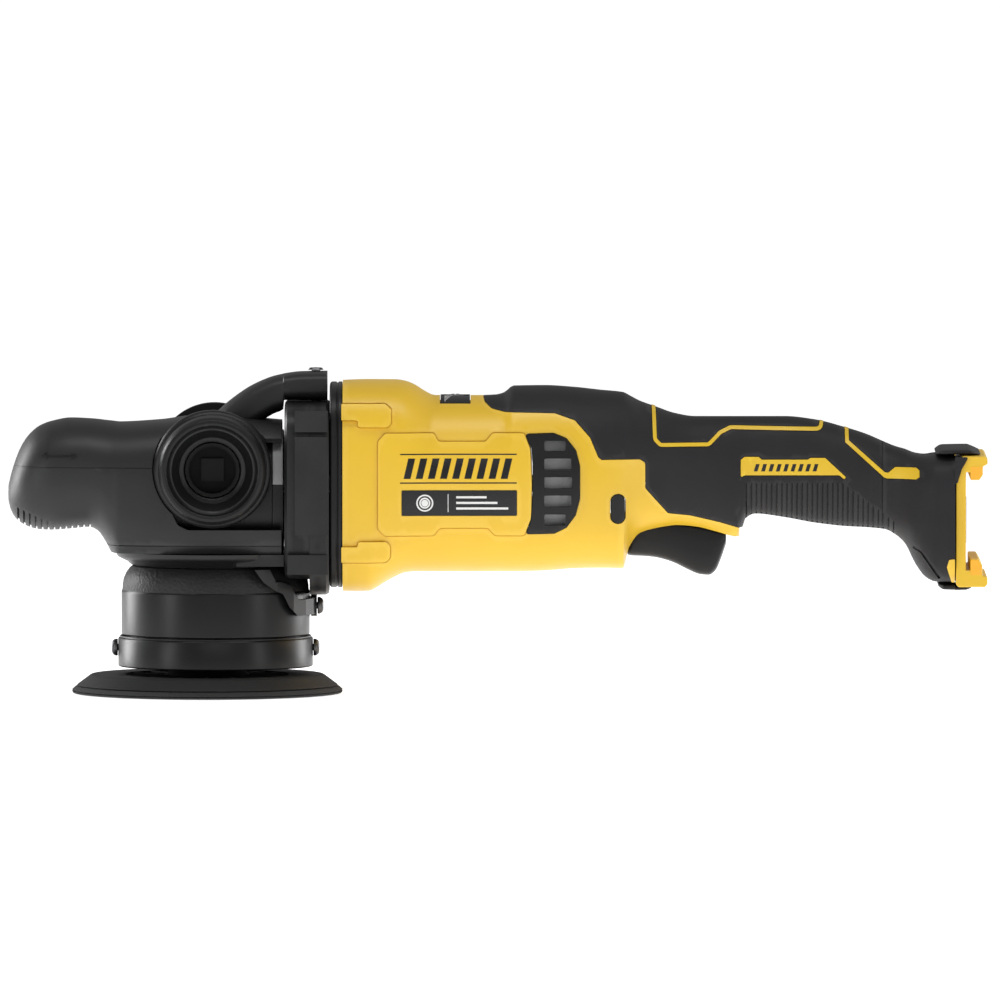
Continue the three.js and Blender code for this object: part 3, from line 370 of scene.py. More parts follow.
def lathe(name, profile, axis="z", at=(0, 0, 0), sides=128):
    """A turned piece. Profile points are (radius, distance along the axis); it closes on itself."""
    verts, faces, rows = [], [], []
    for r, h in profile:
        if r < 1e-6:
            rows.append([len(verts)])
            verts.append((0, 0, h))
        else:
            rows.append(list(range(len(verts), len(verts) + sides)))
            turns = [2 * math.pi * i / sides for i in range(sides)]
            verts += [(r * math.cos(turn), r * math.sin(turn), h) for turn in turns]
    closed = profile[0][0] > 1e-6
    pairs = list(zip(rows, rows[1:])) + ([(rows[-1], rows[0])] if closed else [])
    for a, b in pairs:
        for i in range(sides):
            j = (i + 1) % sides
            ring = [a[i % len(a)], a[j % len(a)], b[j % len(b)], b[i % len(b)]]
            ring = list(dict.fromkeys(ring))
            if len(ring) > 2:
                faces.append(tuple(ring))
    quarter = math.pi / 2
    turn = {
        "z": Matrix.Identity(3),
        "x": Matrix.Rotation(quarter, 3, "Y"), "-x": Matrix.Rotation(-quarter, 3, "Y"),
        "y": Matrix.Rotation(-quarter, 3, "X"), "-y": Matrix.Rotation(quarter, 3, "X"),
    }[axis]
    verts = [tuple(turn @ Vector(v) + Vector(at)) for v in verts]
    return obj_from(name, verts, faces)


def rod(name, radius, start, end, axis="z", at=(0, 0, 0), sides=128):
    return lathe(name, [(0, start), (radius, start), (radius, end), (0, end)], axis, at, sides)


def combine(a, b, how):
    """a with b cut away, added or kept in common. b is used up."""
    tool = a.modifiers.new("join", "BOOLEAN")
    tool.operation = how
    tool.object = b
    tool.solver = "EXACT"
    graph = bpy.context.evaluated_depsgraph_get()
    mesh = bpy.data.meshes.new_from_object(a.evaluated_get(graph))
    a.modifiers.clear()
    a.data = mesh
    bpy.data.objects.remove(b, do_unlink=True)
    return a


def less(a, *tools):
    for b in tools:
        combine(a, b, "DIFFERENCE")
    return a


def plus(a, *tools):
    for b in tools:
        combine(a, b, "UNION")
    return a


def common(a, b):
    return combine(a, b, "INTERSECT")


def merged(parts):
    """Several separate cutters as one object."""
    shape = bmesh.new()
    for p in parts:
        shape.from_mesh(p.data)
        bpy.data.objects.remove(p, do_unlink=True)
    mesh = bpy.data.meshes.new("cutters")
    shape.to_mesh(mesh)
    shape.free()
    made = bpy.data.objects.new("cutters", mesh)
    bpy.context.scene.collection.objects.link(made)
    return made


def rounded(outline, r, count=4):
    """The outline with each corner turned into an arc of up to radius r."""
    out = []
    n = len(outline)
    for i, p in enumerate(outline):
        p, a, b = Vector(p), Vector(outline[i - 1]), Vector(outline[(i + 1) % n])
        da, db = a - p, b - p
        angle = da.angle(db)
        reach = min(r / math.tan(angle / 2), da.length * 0.45, db.length * 0.45)
        start, end = p + da.normalized() * reach, p + db.normalized() * reach
        for k in range(count + 1):
            t = k / count
            q = start * (1 - t) ** 2 + p * 2 * t * (1 - t) + end * t * t
            out.append((q.x, q.y))
    return out


def grow(outline, d):
    """The outline moved out by d."""
    area = sum(a[0] * b[1] - b[0] * a[1] for a, b in zip(outline, outline[1:] + outline[:1]))
    out = []
    for i, p in enumerate(outline):
        a, b = outline[i - 1], outline[(i + 1) % len(outline)]
        along = Vector((b[0] - a[0], b[1] - a[1])).normalized()
        out.append((p[0] + along.y * d * math.copysign(1, area), p[1] - along.x * d * math.copysign(1, area)))
    return out


def strip(line, width):
    """The outline of a band of even width along a line."""
    right, left = [], []
    for i, p in enumerate(line):
        p = Vector(p)
        a, b = Vector(line[max(0, i - 1)]), Vector(line[min(len(line) - 1, i + 1)])
        into = (p - a) if i else (b - p)
        out = (b - p) if i < len(line) - 1 else into
        into, out = into.normalized(), out.normalized()
        side = Vector((into.y + out.y, -into.x - out.x)).normalized()
        side *= width / 2 / max(0.5, side.dot(Vector((into.y, -into.x))))
        right.append(tuple(p + side))
        left.append(tuple(p - side))
    return right + left[::-1]


def smooth_line(line, r):
    """An open line with rounded corners."""
    far = [(line[-1][0] + 30, line[-1][1] + 60), (line[0][0] - 30, line[0][1] + 60)]
    curve = rounded(list(line) + far, r)
    keep = curve[5:-15]
    return [line[0]] + keep + [line[-1]]


def ease(obj, width, angle, segments=2):
    """Soft edges."""
    soft = obj.modifiers.new("edges", "BEVEL")
    soft.width = width * MM
    soft.segments = segments
    soft.limit_method = "ANGLE"
    soft.angle_limit = math.radians(angle)
    soft.harden_normals = True


def shifted(obj, turn, at):
    """The object turned, then moved to a point in millimetres."""
    obj.data.transform(turn)
    obj.data.transform(Matrix.Translation(Vector(at) * MM))
    return obj


def finish(obj, mat, replaces=(), body="frame", bevel=0.4, angle=32, segments=2):
    """Material, soft edges, the CAD nodes the piece stands for and the body it rides on."""
    obj.data.materials.clear()
    obj.data.materials.append(MAT[mat])
    obj.data.shade_smooth()
    obj.data.set_sharp_from_angle(angle=math.radians(angle))
    if bevel:
        ease(obj, bevel, angle, segments)
    if replaces:
        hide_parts(*replaces)
    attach(obj, body)
    return obj


def both(name):
    """The names of the left and right CAD nodes."""
    return [name + "_left", name + "_right"]


def side_prism(name, outline, side, near=5):
    """An outline as a cutter on one side only, from the depth near outwards."""
    return prism(name, outline, -80, -near) if side < 0 else prism(name, outline, near, 80)


def film(name, part, outer, inner, e=0.5, sides=96, step=1.5):
    """A skin that follows a body, between two distances from its surface."""
    return less(loft(name, part, outer, e, sides, step), loft("inner", part, inner, 2.0, sides, step))


def layers(name, table, outline, outer, inner, near=5, sides=88, span=None):
    """Curved layers on both sides of a body, cut to an outline."""
    xs = [p[0] for p in outline]
    lo, hi = span or (min(xs) - 4, max(xs) + 4)
    skin = film(name, clip(table, lo, hi), outer, inner, sides=sides)
    return common(skin, merged([side_prism("keep", outline, side, near) for side in (-1, 1)]))


# ---- camera, floor and light ----
CENTRE = Vector((0.1317, 0.0, 0.0888))
ELEVATION = math.radians(2.8)
DISTANCE = 12.0
SENSOR = 36.0
FRAME_WIDTH = 0.463  # metres across the picture at the object


def camera():
    data = bpy.data.cameras.new("camera")
    data.sensor_width = SENSOR
    data.lens = SENSOR * DISTANCE / FRAME_WIDTH
    data.clip_end = 60.0
    made = bpy.data.objects.new("camera", data)
    bpy.context.scene.collection.objects.link(made)
    made.location = CENTRE + Vector((0, -math.cos(ELEVATION), math.sin(ELEVATION))) * DISTANCE
    made.rotation_euler = (math.pi / 2 - ELEVATION, 0, 0)
    bpy.context.scene.camera = made


def floor():
    """A pale floor that gives off some light, so that it is as white as the photo's background."""
    half, top = 12000.0, -0.4
    corners = [(-half, -half, top), (half, -half, top), (half, half, top), (-half, half, top)]
    made = obj_from("floor", corners, [(0, 1, 2, 3)])
    mat = bpy.data.materials.new("floor")
    mat.use_nodes = True
    shader = mat.node_tree.nodes["Principled BSDF"]
    noise = node(mat.node_tree, "ShaderNodeTexNoise", Scale=3.0)
    ramp = node(mat.node_tree, "ShaderNodeMapRange", **{"To Min": 0.72, "To Max": 0.8})
    mat.node_tree.links.new(noise.outputs["Fac"], ramp.inputs["Value"])
    mat.node_tree.links.new(ramp.outputs["Result"], shader.inputs["Roughness"])
    shader.inputs["Base Color"].default_value = (0.93, 0.93, 0.93, 1)
    shader.inputs["Specular IOR Level"].default_value = 0.1
    shader.inputs["Emission Color"].default_value = (1, 1, 1, 1)
    shader.inputs["Emission Strength"].default_value = 0.76
    made.data.materials.append(mat)


def lamp(name, at, target, size, power):
    """A soft box at one point, aimed at another."""
    data = bpy.data.lights.new(name, "AREA")
    data.shape = "RECTANGLE"
    data.size, data.size_y = size
    data.energy = power
    made = bpy.data.objects.new(name, data)
    made.location = at
    made.rotation_euler = (Vector(target) - Vector(at)).to_track_quat("-Z", "Y").to_euler()
    bpy.context.scene.collection.objects.link(made)


def lights():
    world = bpy.data.worlds.new("studio")
    world.use_nodes = True
    world.node_tree.nodes["Background"].inputs["Color"].default_value = (1, 1, 1, 1)
    world.node_tree.nodes["Background"].inputs["Strength"].default_value = 0.3
    bpy.context.scene.world = world
    bpy.context.scene.view_settings.view_transform = "Standard"
    mid = (0.13, 0, 0.08)
    lamp("top", (0.15, -0.35, 1.3), mid, (1.4, 0.4), 7.5)
    lamp("rim_left", (-1.15, 0.8, 0.28), (0.0, 0, 0.08), (0.5, 1.0), 17)
    lamp("rim_right", (1.25, 0.85, 0.28), (0.1, 0, 0.08), (0.5, 1.0), 11)
    lamp("left", (-1.15, -0.75, 0.3), (0.0, 0, 0.08), (0.25, 0.8), 3.2)
    lamp("right", (1.25, -0.9, 0.4), (0.1, 0, 0.08), (0.25, 0.8), 2.2)
    lamp("front", (0.1, -1.9, 0.9), mid, (1.2, 0.5), 2.2)


# ---- motor housing, soft grip and trims ----
GRIP_REGION = rounded(GRIP_EDGE + [(242.9, 30), (360, 30), (360, 170), (123.9, 170)], 1.6)
YELLOW_REGION = [(50, 30), (242.4, 30)] + [
    (x - 0.15, z - 0.25)
    for x, z in reversed(rounded(GRIP_EDGE + [(360, 76.8), (360, 170), (123.9, 170)], 1.6))
    if x <= 242.7 and z < 150
] + [(123.4, 170), (50, 170)]


SIDES = ((-1, "left"), (1, "right"))
RAISED = ((SIDE_PANEL, 1.4, 1.5), (CORNER_RIB, 1.8, 1.2), (LOWER_RIB, 1.8, 1.2))  # outline, height, radius


def lock_outline(d):
    """The lock button's pill shape, moved out by d."""
    points = []
    for middle, first in ((LOCK_TOP, 0), (LOCK_LOW, 24)):
        for i in range(first, first + 25):
            turn = math.pi * i / 24
            points.append((LOCK_X + (LOCK_RADIUS + d) * math.cos(turn),
                           middle + (LOCK_RADIUS + d) * math.sin(turn)))
    return points


def seam(table, depth):
    """A cutter for the parting line between the left and right halves."""
    lo, hi = table[0][0], table[-1][0]
    blade = box("seam", lo - 2, hi + 2, -SEAM_WIDTH / 2, SEAM_WIDTH / 2, 20, 170)
    return less(blade, loft("core", table, -depth, 3, 48, 4))


def housing():
    """The yellow motor housing with its raised panels, the shadow lines round them and its openings."""
    table = clip(BODY, 59.0, 245.0)
    shell = loft("housing_shell", table, 0, 0, 96, 2.0)
    for outline, height, r in RAISED:
        plus(shell, layers("raised", BODY, rounded(outline, r), height, -1.4, 20, 96, (59.0, 150.0)))
    for outline, _, r in RAISED:
        groove = layers("foot_of_panel", BODY, grow(rounded(outline, r), 0.42), 2.4, -0.45, 20)
        less(shell, less(groove, layers("keep", BODY, rounded(outline, r), 3, -1.2, 20)))
    less(shell, layers("pocket", BODY, rounded(rectangle(86.2, 139.6, 83.4, 95.4), 0.6), 3, 0.2, 20))
    cuts = [side_prism("screen", grow(rounded(SCREEN, 1.2), 0.3), s, 20) for s in (-1, 1)]
    cuts.append(prism("lock", lock_outline(0.4), -60, 60))
    less(shell, merged(cuts))
    common(shell, prism("yellow", YELLOW_REGION, -90, 90))
    less(shell, loft("hollow", HOLLOW, 0, 0, 48, 6), box("slot", 189.9, 240.2, -11.9, 11.9, 40, 92))
    lip = [(240.0, 60), (240.0, 72.2), (241.0, 72.8), (243.5, 72.0), (243.5, 60)]
    less(shell, prism("lip", lip, -12, 12))
    less(shell, box("dial", 103.9, 118.1, -19.3, 19.3, 125, 150), seam(table, 0.5))
    finish(shell, "yellow", both("motor_housing"), bevel=0.5)


def rib_cutter():
    """Upright grooves along both sides of the handle."""
    blades = []
    x = 245.6
    while x < 316:
        top = 97.6 if x < 290 else 97.6 - (x - 290) * 0.74
        for y0, y1 in ((-60, -3), (3, 60)):
            blades.append(box("rib", x - 0.35, x + 0.35, y0, y1, 70, top))
        x += 2.35
    return less(merged(blades), loft("core", clip(BODY, 240, 330), -0.7, 2, 64, 3))


def rear_trim(d):
    """The rear yellow line and the bar at its end as one outline."""
    return grow([(291.1, 126.5), (291.3, 116.4), (309.2, 100.3), (310.6, 99.8), (323.9, 99.8), (325.4, 100.9),
                 (325.4, 103.9), (323.9, 105.1), (314.4, 105.1), (311.2, 102.4), (309.6, 102.6), (293.0, 117.2),
                 (292.9, 126.5)], d)


def grip():
    """The soft grip, with a groove for each yellow inlay."""
    table = clip(BODY, 123.9, 341.8)
    skin = common(loft("grip_skin", table, 0, 0, 96, 2.0), prism("region", GRIP_REGION, -90, 90))
    less(skin, loft("hollow", HOLLOW, 0, 0, 48, 6), box("slot", 189.9, 243, -12.6, 12.6, 40, 92))
    less(skin, box("under_lip", 240, 246.5, -40, 40, 60, 76.8))
    grooves = [layers("groove", BODY, strip(smooth_line(PIPING_FRONT, 2.5), 2.2), 2, -0.9, 3),
               layers("groove", BODY, rear_trim(0.25), 2, -0.9, 3),
               layers("groove", BODY, grow(rounded(BADGE, 0.8), 0.3), 2, -0.9, 5),
               layers("groove", BODY, strip([(322.6, 68.4), (326.0, 66.6), (334.8, 54.0)], 1.1), 2, -0.9, 10)]
    less(skin, *grooves)
    less(skin, rib_cutter(), seam(table, 0.5))
    less(skin, layers("step", BODY, strip([(308.5, 130), (308.5, 60)], 0.5), 2, -0.4, 2))
    finish(skin, "rubber", both("grip"), bevel=0.3)


def circle(x, z, r, count=40):
    turns = [2 * math.pi * i / count for i in range(count)]
    return [(x + r * math.cos(turn), z + r * math.sin(turn)) for turn in turns]


def ring_prism(x, z, r, half, side):
    """A ring as a cutter on one side, or a disc where the ring has no hole."""
    body = side_prism("ring", circle(x, z, r + half), side, 20)
    if r > half:
        less(body, side_prism("ring", circle(x, z, r - half), side, 10))
    return body


def slanted_bar(x, width, lean, low, high):
    return [(x, low), (x + width, low), (x + width + lean, high), (x + lean, high)]


def trims():
    """The yellow lines and badges of the grip, and the label films with their plain marks."""
    line = layers("piping_front", BODY, strip(smooth_line(PIPING_FRONT, 2.5), 1.7), 0.25, -0.8, 3)
    finish(line, "accent", bevel=0.15)
    finish(layers("piping_rear", BODY, rear_trim(0), 0.25, -0.8, 3), "accent", bevel=0.15)
    finish(layers("badges", BODY, rounded(BADGE, 0.8), 0.3, -0.8, 5), "accent", both("badge"), bevel=0.15)
    bars = merged([prism("bar", slanted_bar(249 + 3.4 * k, 1.7, 1.0, 103.0, 106.4), -60, 60) for k in range(9)])
    finish(common(film("badge_print", clip(BODY, 240, 300), 0.36, 0.24, 0, 64, 2), bars), "label", bevel=0)
    label = layers("labels", BODY, rounded(rectangle(86.4, 139.4, 83.6, 95.2), 0.5), 1.55, 0.4, 20)
    finish(label, "label", both("label"), bevel=0.1)
    marks = [rectangle(107.6, 107.9, 85.2, 93.6)]
    for k in range(3):
        marks.append(rectangle(111.5, 135.5 - 5 * k, 86.4 + 2.6 * k, 87.4 + 2.6 * k))
    for side, name in SIDES:
        cutters = [side_prism("mark", m, side, 20) for m in marks]
        cutters += [ring_prism(97.0, 89.4, r, half, side) for r, half in ((3.6, 0.35), (2.2, 0.35), (0.8, 0.8))]
        skin = film("label_print_" + name, clip(BODY, 84, 142), 1.6, 1.5)
        finish(common(skin, merged(cutters)), "print", bevel=0)


def brand_bars():
    """A plain motif of slanted bars between two rules on the side panel."""
    outlines = [rectangle(85.6, 139.4, z, z + 0.6) for z in (111.6, 98.4)]
    outlines += [slanted_bar(87.2 + 5.6 * k, 3.2, 2.2, 100.6, 110.0) for k in range(9)]
    for side, name in SIDES:
        cutters = merged([side_prism("bar", o, side, 20) for o in outlines])
        skin = film("panel_print_" + name, clip(BODY, 84, 142), 1.45, 1.3)
        finish(common(skin, cutters), "label", bevel=0)


def screens():
    """The intake frames with their slots, and the woven screens behind them."""
    inside = [(150.6, 74.6), (163.0, 76.0), (169.4, 88.0), (169.4, 108.6), (163.0, 120.8), (150.6, 122.0)]
    finish(layers("intake_screens", BODY, inside, -3.6, -4.4, 20, 96), "mesh", both("intake_mesh"), bevel=0)
    frames = layers("intake_frames", BODY, rounded(SCREEN, 1.2), 1.6, -3.4, 20, 96)
    cutters = []
    for low, high, end in SLOTS:
        outline = rounded(rectangle(152.2, end, low, high), 0.7)
        cutters += [side_prism("slot", outline, side, 10) for side, _ in SIDES]
    less(frames, merged(cutters))
    finish(frames, "black", both("intake_frame"), bevel=0.4)


# ---- gear head ----
def head_cover():
    """The rubber cover and its arch, open round the gear case and the sockets, with ribs under the nose."""
    cover = plus(loft("head_cover", HEAD, 0, 0, 112, 1.8), loft("arch", ARCH, 0, 0, 64, 1.5))
    less(cover, loft("hollow", HEAD_HOLLOW, 0, 0, 48, 5), loft("room", CASE, 0.4, 2, 48, 8))
    less(cover, box("base", -60, 60, -60, 60, 40, 65.7), box("over", 31.9, 60, -60, 60, 100, 135.2))
    for side, axis in ((-1, "-y"), (1, "y")):
        less(cover, side_prism("window", rounded(CASE_WINDOW, 3.0), side, 30))
        less(cover, rod("hub", 27.9, 34, 60, axis, HUB))
    blade = less(box("seam", -110, 60, -60, 60, 105.2, 105.6), loft("core", HEAD, -0.5, 2, 48, 4),
                 box("clear", -22, 70, -60, 60, 90, 130))
    less(cover, blade)
    ribs = []
    x = -91.5
    while x < -56:
        top = 86.5 - (x + 91.5) * 0.46 if x < -75 else 78.9
        ribs.append(prism("rib", [(x, 66), (x + 1.0, 66), (x + 1.0, top - 0.6), (x, top)], -60, 60))
        x += 2.75
    less(cover, less(merged(ribs), loft("core", clip(HEAD, -95, -50), -1.0, 2, 64, 3)))
    less(cover, less(box("crease", -60, 60, -60, 60, 69.2, 69.7), loft("core", HEAD, -0.45, 2, 48, 4)))
    less(cover, rod("screw", 2.4, 130, 160, "z", ARCH_SCREW, 32))
    finish(cover, "nose", ("head_cover_upper", "head_cover_lower"), bevel=0.5)
    arrow = [(-80.6, 110.9), (-77.6, 112.6), (-77.6, 111.3), (-66.2, 111.3), (-66.2, 112.6), (-63.2, 110.9),
             (-66.2, 109.2), (-66.2, 110.5), (-77.6, 110.5), (-77.6, 109.2)]
    finish(layers("spin_arrows", HEAD, arrow, 0.4, -0.4, 5), "black", bevel=0)


def gear_case():
    """The black case inside the cover, and a rim at its rear in the pale alloy material above z 97.6 and black
    below.
    """
    rows = [(-34.8, 66, 117.5, 32, 3.2), (-30, 65.8, 119.5, 34.5, 3.4), (26.4, 65.8, 121, 35.2, 3.6)]
    case = less(loft("case_shell", rows, 0, 0, 96, 3), rod("bore", 31, 60, 110))
    finish(case, "black", ("gear_case",), bevel=0.8)
    rim_rows = [(26.6, 65.8, 121.2, 36.2, 3.6), (31.6, 65.8, 121.2, 36.2, 3.6)]
    rim, low = (less(loft(name, rim_rows, 0, 0, 96, 3), rod("bore", 15.5, 20, 40, "x", ROTOR_AXIS))
                for name in ("case_rim", "case_rim_low"))
    common(low, box("low", 20, 40, -60, 60, 60, 97.5))
    less(rim, box("low", 20, 40, -60, 60, 60, 97.6))
    finish(low, "black", bevel=0.4)
    finish(rim, "alloy", bevel=0.4)


def collar():
    """The collar with its raised pads and the adapter plate behind it."""
    body = loft("collar_shell", COLLAR, 0, 0, 112, 2.0)
    for y0, y1 in ((-47.2, -40), (40, 47.2)):
        for x0, z0, z1 in ((37, 122.4, 132.0), (37, 74.8, 120.2), (33.6, 56.6, 65.6)):
            plus(body, box("pad", x0, 52.2, y0, y1, z0, z1))
    less(body, loft("inside", [(44, 62, 128, 38, 4), (58, 62, 128, 38, 4)], 0, 0, 48, 5),
         rod("skirt_room", 43.8, 40, 58.9), rod("bore", 13.4, 20, 60, "x", ROTOR_AXIS, 64),
         rod("screw", 2.5, 120, 160, "z", ARCH_SCREW, 32))
    finish(body, "black", ("collar",), bevel=0.8, segments=3)
    plate = less(loft("adapter", ADAPTER, 0, 0, 112, 2.0),
                 loft("inside", [(52, 56, 136, 36, 3), (60, 56, 136, 36, 3)], 0, 0, 48, 5))
    finish(plate, "black", ("adapter_plate",), bevel=0.3)


# radius, distance from the middle plane
SOCKET = [
    (9.5, 37.2), (27.3, 37.2), (27.3, 42.4), (27.0, 43.6), (26.2, 44.6), (25.0, 45.2), (24.7, 46.6), (24.9, 47.4),
    (25.2, 48.4), (25.0, 56.0), (24.4, 59.0), (23.4, 60.6), (22.2, 61.0), (21.2, 60.8), (20.6, 60.0), (20.3, 58.6),
    (19.4, 57.6), (18.8, 57.4), (15.6, 52.4), (15.2, 51.8), (14.0, 51.4), (13.0, 50.6), (13.0, 41.6), (9.5, 41.6),
]


def sockets():
    for axis, name in (("-y", "left"), ("y", "right")):
        finish(lathe("socket_" + name, SOCKET, axis, HUB, 160), "black", ("side_socket_" + name,), bevel=0.35,
               angle=25)


# turned profiles: radius, height. The shroud's first two points are a lip inside the ring, against light.
SHROUD = [
    (40.8, 25.0), (41.8, 25.0), (41.8, 26.7), (43.2, 26.7), (43.6, 27.2), (43.6, 46.4), (43.5, 47.0), (43.2, 47.4),
    (43.0, 50.0), (42.6, 52.6), (41.4, 55.4), (39.8, 57.6), (38.6, 58.6), (30.0, 58.6), (30.0, 56.2), (36.8, 56.2),
    (39.8, 51.6), (40.8, 46.8),
]
RING = [
    (42.2, 12.0), (44.7, 12.0), (45.1, 12.5), (45.1, 24.8), (44.8, 25.3), (44.3, 25.6), (44.3, 26.3), (42.2, 26.3),
]
CASE_BASE = [
    (15.3, 58.9), (38.4, 58.9), (39.6, 59.6), (40.8, 60.8), (43.4, 62.0), (45.0, 62.8), (45.8, 63.8), (46.2, 65.4),
    (15.3, 65.4),
]
COARSE_FROM = 47.2  # the shroud's plastic is coarse above this height


def skirt():
    """The shroud, coarse above its shoulder, the ring below it and the gear case's lower cover above."""
    made = lathe("skirt_upper", SHROUD, sides=160)
    finish(made, "skirt", ("skirt_shroud",), bevel=0.25)
    made.data.materials.append(MAT["coarse"])
    for face in made.data.polygons:
        if face.center.z > COARSE_FROM * MM:
            face.material_index = 1
    finish(lathe("skirt_lower", RING, sides=160), "skirt", ("skirt_ring",), bevel=0.2)
    base = plus(lathe("case_base", CASE_BASE), box("rear", 10, 40, -41, 41, 60.0, 65.4))
    less(base, box("clear", 31.9, 70, -60, 60, 40, 80), rod("bore", 15.3, 40, 80))
    finish(base, "black", ("gear_case_base",), bevel=0.8, segments=3)


def star_screw(name, axis, at, seat, replaces):
    """A pan head screw with a six-lobed recess."""
    profile = [(0, seat - 4.4), (1.6, seat - 4.4), (1.6, seat), (3.8, seat), (4.0, seat + 0.4), (3.9, seat + 1.2),
               (3.3, seat + 2.2), (2.2, seat + 2.8), (0, seat + 2.9)]
    head_mesh = lathe(name, profile, axis, at, 40)
    star = []
    for i in range(24):
        r = 1.75 if (i // 2) % 2 else 1.25
        star.append((r * math.cos(math.pi * i / 12), r * math.sin(math.pi * i / 12)))
    tool = prism("star", star, -(seat + 6), -(seat + 1.3))
    turn = {"x": Matrix.Rotation(math.pi / 2, 4, "Z"), "-x": Matrix.Rotation(-math.pi / 2, 4, "Z")}[axis]
    less(head_mesh, shifted(tool, turn, at))
    finish(head_mesh, "zinc", (replaces,), bevel=0.12)


def screws():
    star_screw("screw_rear", "x", (0, 0, SKIRT_SCREW_Z), 45.3, "skirt_screw_rear")
    star_screw("screw_front", "-x", (0, 0, SKIRT_SCREW_Z), 45.3, "skirt_screw_front")
    star_screw("screw_bracket", "x", (0, 0, BRACKET_SCREW_Z), 47.2, "bracket_screw")


def pad():
    """The ribbed backing plate, the cushion under it and the hook face."""
    plate = [(0, 3.5), (60.1, 3.5), (60.3, 3.8), (54.4, 8.2), (53.6, 8.6), (38.0, 8.6), (36.6, 7.2), (21.0, 7.2),
             (18.4, 9.4), (16.4, 11.4), (15.6, 24.0), (11.4, 24.0), (11.4, 10.4), (0, 10.4)]
    made = lathe("pad_plate", plate, "z", PAD, 192)
    for i in range(16):
        rib = box("rib", 19.5, 37.6, -0.8, 0.8, 5, 8.5)
        plus(made, shifted(rib, Matrix.Rotation(math.pi * i / 8, 4, "Z"), PAD))
    finish(made, "pad", ("backing_plate",), "pad", bevel=0.3)
    cushion = [(0, 1.2), (62.3, 1.2), (62.6, 1.6), (61.0, 3.0), (60.6, 3.2), (0, 3.2)]
    foam = lathe("pad_cushion", cushion, "z", PAD, 192)
    finish(foam, "foam", ("pad_foam",), "pad", bevel=0)
    hook = lathe("pad_hook", [(0, 0), (62.0, 0), (62.4, 0.3), (62.6, 0.9), (0, 0.9)], "z", PAD, 192)
    finish(hook, "hook", ("hook_face",), "pad", bevel=0)


# ---- controls and battery foot ----
def controls():
    """The trigger, the lock button and the speed dial in its bezel."""
    lever = loft("trigger_lever", TRIGGER, 0, 0, 72, 1.2)
    less(lever, rod("pin", 2.5, -20, 20, "y", TRIGGER_PIN, 32))
    finish(lever, "black", ("trigger",), "trigger", bevel=0.9, segments=3)
    button = common(prism("lock_pill", lock_outline(0), -60, 60), loft("shape", clip(BODY, 176, 198), 0.8, 0, 96, 2))
    finish(button, "black", ("lock_button",), "lock_button", bevel=0.5)
    rim = [(0, -5.6), (7.4, -5.6), (8.7, -4.6), (8.7, 4.6), (7.4, 5.6), (0, 5.6)]
    wheel = lathe("dial_wheel", rim, "y", DIAL, 80)
    less(wheel, merged([shifted(box("notch", -0.4, 0.4, -6, 6, 8.2, 10), Matrix.Rotation(math.pi * i / 10, 4, "Y"),
                                DIAL) for i in range(20)]))
    finish(wheel, "grey", ("speed_dial",), "speed_dial", bevel=0.15)
    bezel = film("dial_frame", clip(BODY, 104.2, 117.8), 0.35, -1, 0, 96, 2)
    common(bezel, box("keep", 100, 122, -19, 19, 120, 150))
    less(bezel, box("slot", 104.7, 117.3, -6, 6, 120, 150))
    finish(bezel, "black", ("dial_bezel",), bevel=0.2)
    ticks = []
    for k in range(6):
        y = -17.4 + 1.9 * k
        ticks.append(box("tick", 106.0, 106.6 + 0.6 * k, y, y + 0.5, 125, 150))
        ticks.append(box("tick", 106.0, 106.6 + 0.6 * (5 - k), -y - 0.5, -y, 125, 150))
    marks = common(film("dial_marks", clip(BODY, 104.4, 117.6), 0.42, 0.3, 0, 96, 2), merged(ticks))
    finish(marks, "print", bevel=0)


# side-plane outlines, and rows like the tables above
HOOKS = {
    "rail_hook_low": [(348.9, 55.9), (354.2, 55.9), (354.2, 59.4), (352.4, 62.9), (348.9, 62.9)],
    "rail_hook_high": [(348.9, 100.0), (352.8, 100.0), (354.4, 103.0), (354.4, 106.0), (348.9, 106.0)],
}
BUMPERS = {
    "bumper_top": [(333.2, 111.0, 111.8, 26, 4), (335.4, 111.0, 113.4, 31, 4), (337.0, 111.0, 113.7, 32, 4),
                   (348.0, 111.0, 113.9, 32, 4), (350.6, 111.0, 113.0, 30, 4), (353.6, 111.0, 111.6, 26, 4)],
    "bumper_low": [(334.4, 49.6, 51.2, 19, 4), (336.6, 48.1, 51.2, 23, 4), (341.9, 47.9, 51.2, 23, 4),
                   (342.1, 47.9, 49.9, 23, 4), (347.0, 48.0, 49.9, 23, 4), (349.6, 48.9, 49.9, 19, 4)],
}


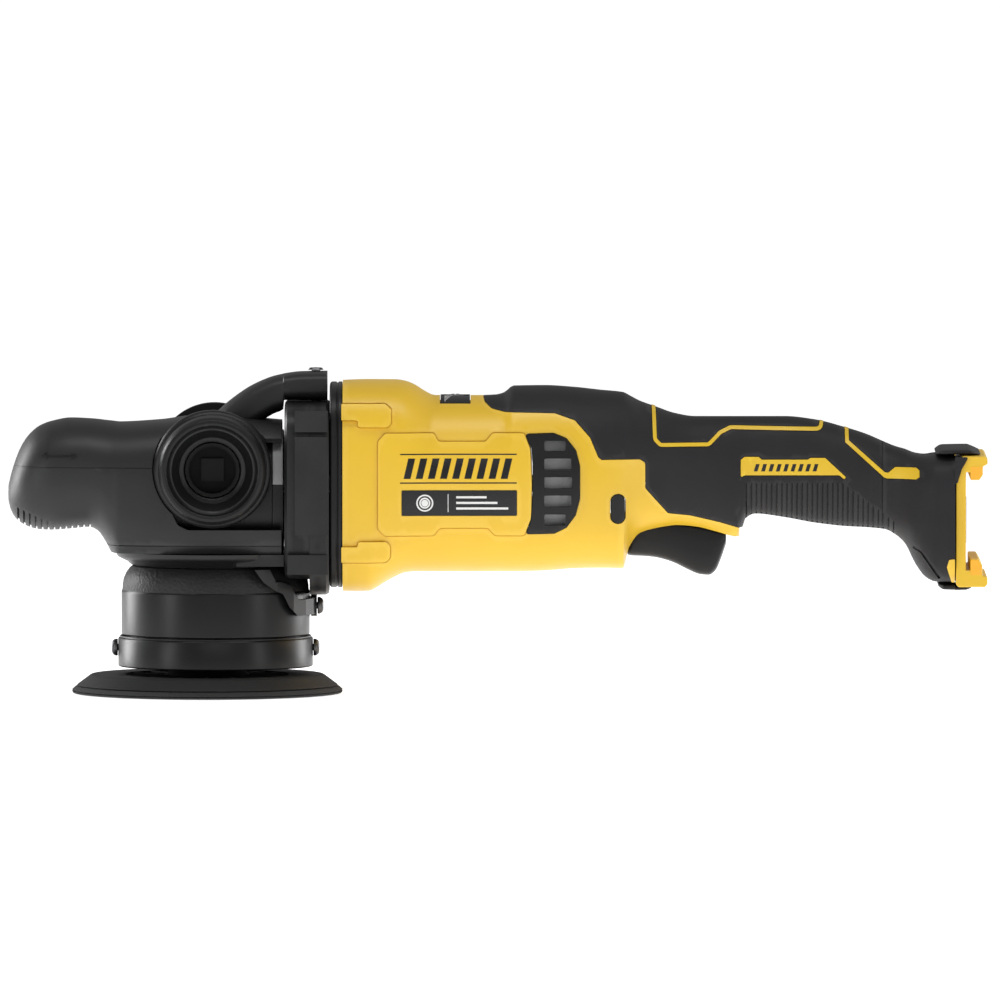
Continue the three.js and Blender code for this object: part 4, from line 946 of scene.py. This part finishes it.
def foot():
    """The battery receptacle with its rails, the rubber round it and the contact blades."""
    rail = prism("rail_block", RECEPTACLE, -37, 37)
    less(rail, box("window", 340, 350, -19.4, 19.4, 69.6, 91.4))
    finish(rail, "yellow", ("battery_receptacle",), bevel=0.5, segments=3)
    for name, outline in HOOKS.items():
        for tag, y0, y1 in (("left", -37.15, -31), ("right", 31, 37.15)):
            hook = prism(name + "_" + tag, grow(outline, -0.05), y0, y1)
            # painted shade: the hooks take the darker, redder copy of the housing yellow
            finish(hook, "shaded_rail_yellow", bevel=0.2)
    cheek = rounded([(341.7, 110.4), (348.0, 110.4), (344.8, 104.7), (343.0, 98.8), (341.7, 97.6)], 0.8)
    for tag, y0, y1 in (("left", -38.0, -36.9), ("right", 36.9, 38.0)):
        finish(prism("foot_cheek_" + tag, cheek, y0, y1), "rubber", bevel=0.3)
    tab = rounded([(339.0, 62.9), (341.7, 63.3), (341.7, 51.9), (340.4, 51.9), (338.0, 59.4)], 0.6)
    finish(layers("foot_tabs", BODY, tab, 0.5, -0.8, 20), "yellow", bevel=0.2)
    for name, rows in BUMPERS.items():
        finish(loft(name, rows, 0, 0, 48, 1.2), "rubber", ("foot_" + name,), bevel=0.2)
    blades = merged([box("blade", 344.8, 346.9, -15, 15, z + 0.35, z + 1.05) for z in (72.4, 77.4, 82.4, 87.4)])
    blades.name = "battery_contacts"
    finish(blades, "steel", bevel=0.1)


KEPT = {
    "handle_insert_left": "dark", "handle_insert_right": "dark", "arch_screw": "zinc", "crown_gear": "steel",
    "pinion": "steel", "spindle": "steel", "counterweight": "steel", "spindle_bearing": "steel",
    "pad_bearing": "steel", "rotor_shaft": "steel", "rotor_core": "steel", "cooling_fan": "black",
    "stator": "copper", "motor_bearing_front": "steel", "motor_bearing_rear": "steel", "air_baffle": "black",
    "trigger_pin": "steel", "switch_body": "black", "control_module": "grey", "terminal_block": "black",
    "skirt_bracket": "black",
}


def kept_nodes():
    """CAD pieces that show as they are: a detailed material and eased edges."""
    for name, mat in KEPT.items():
        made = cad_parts[name]
        made.data.materials.clear()
        made.data.materials.append(MAT[mat])
        ease(made, 0.25, 35)


camera()
floor()
lights()
housing()
grip()
trims()
brand_bars()
screens()
head_cover()
gear_case()
collar()
sockets()
skirt()
screws()
pad()
controls()
foot()
kept_nodes()

bpy.context.view_layer.update()
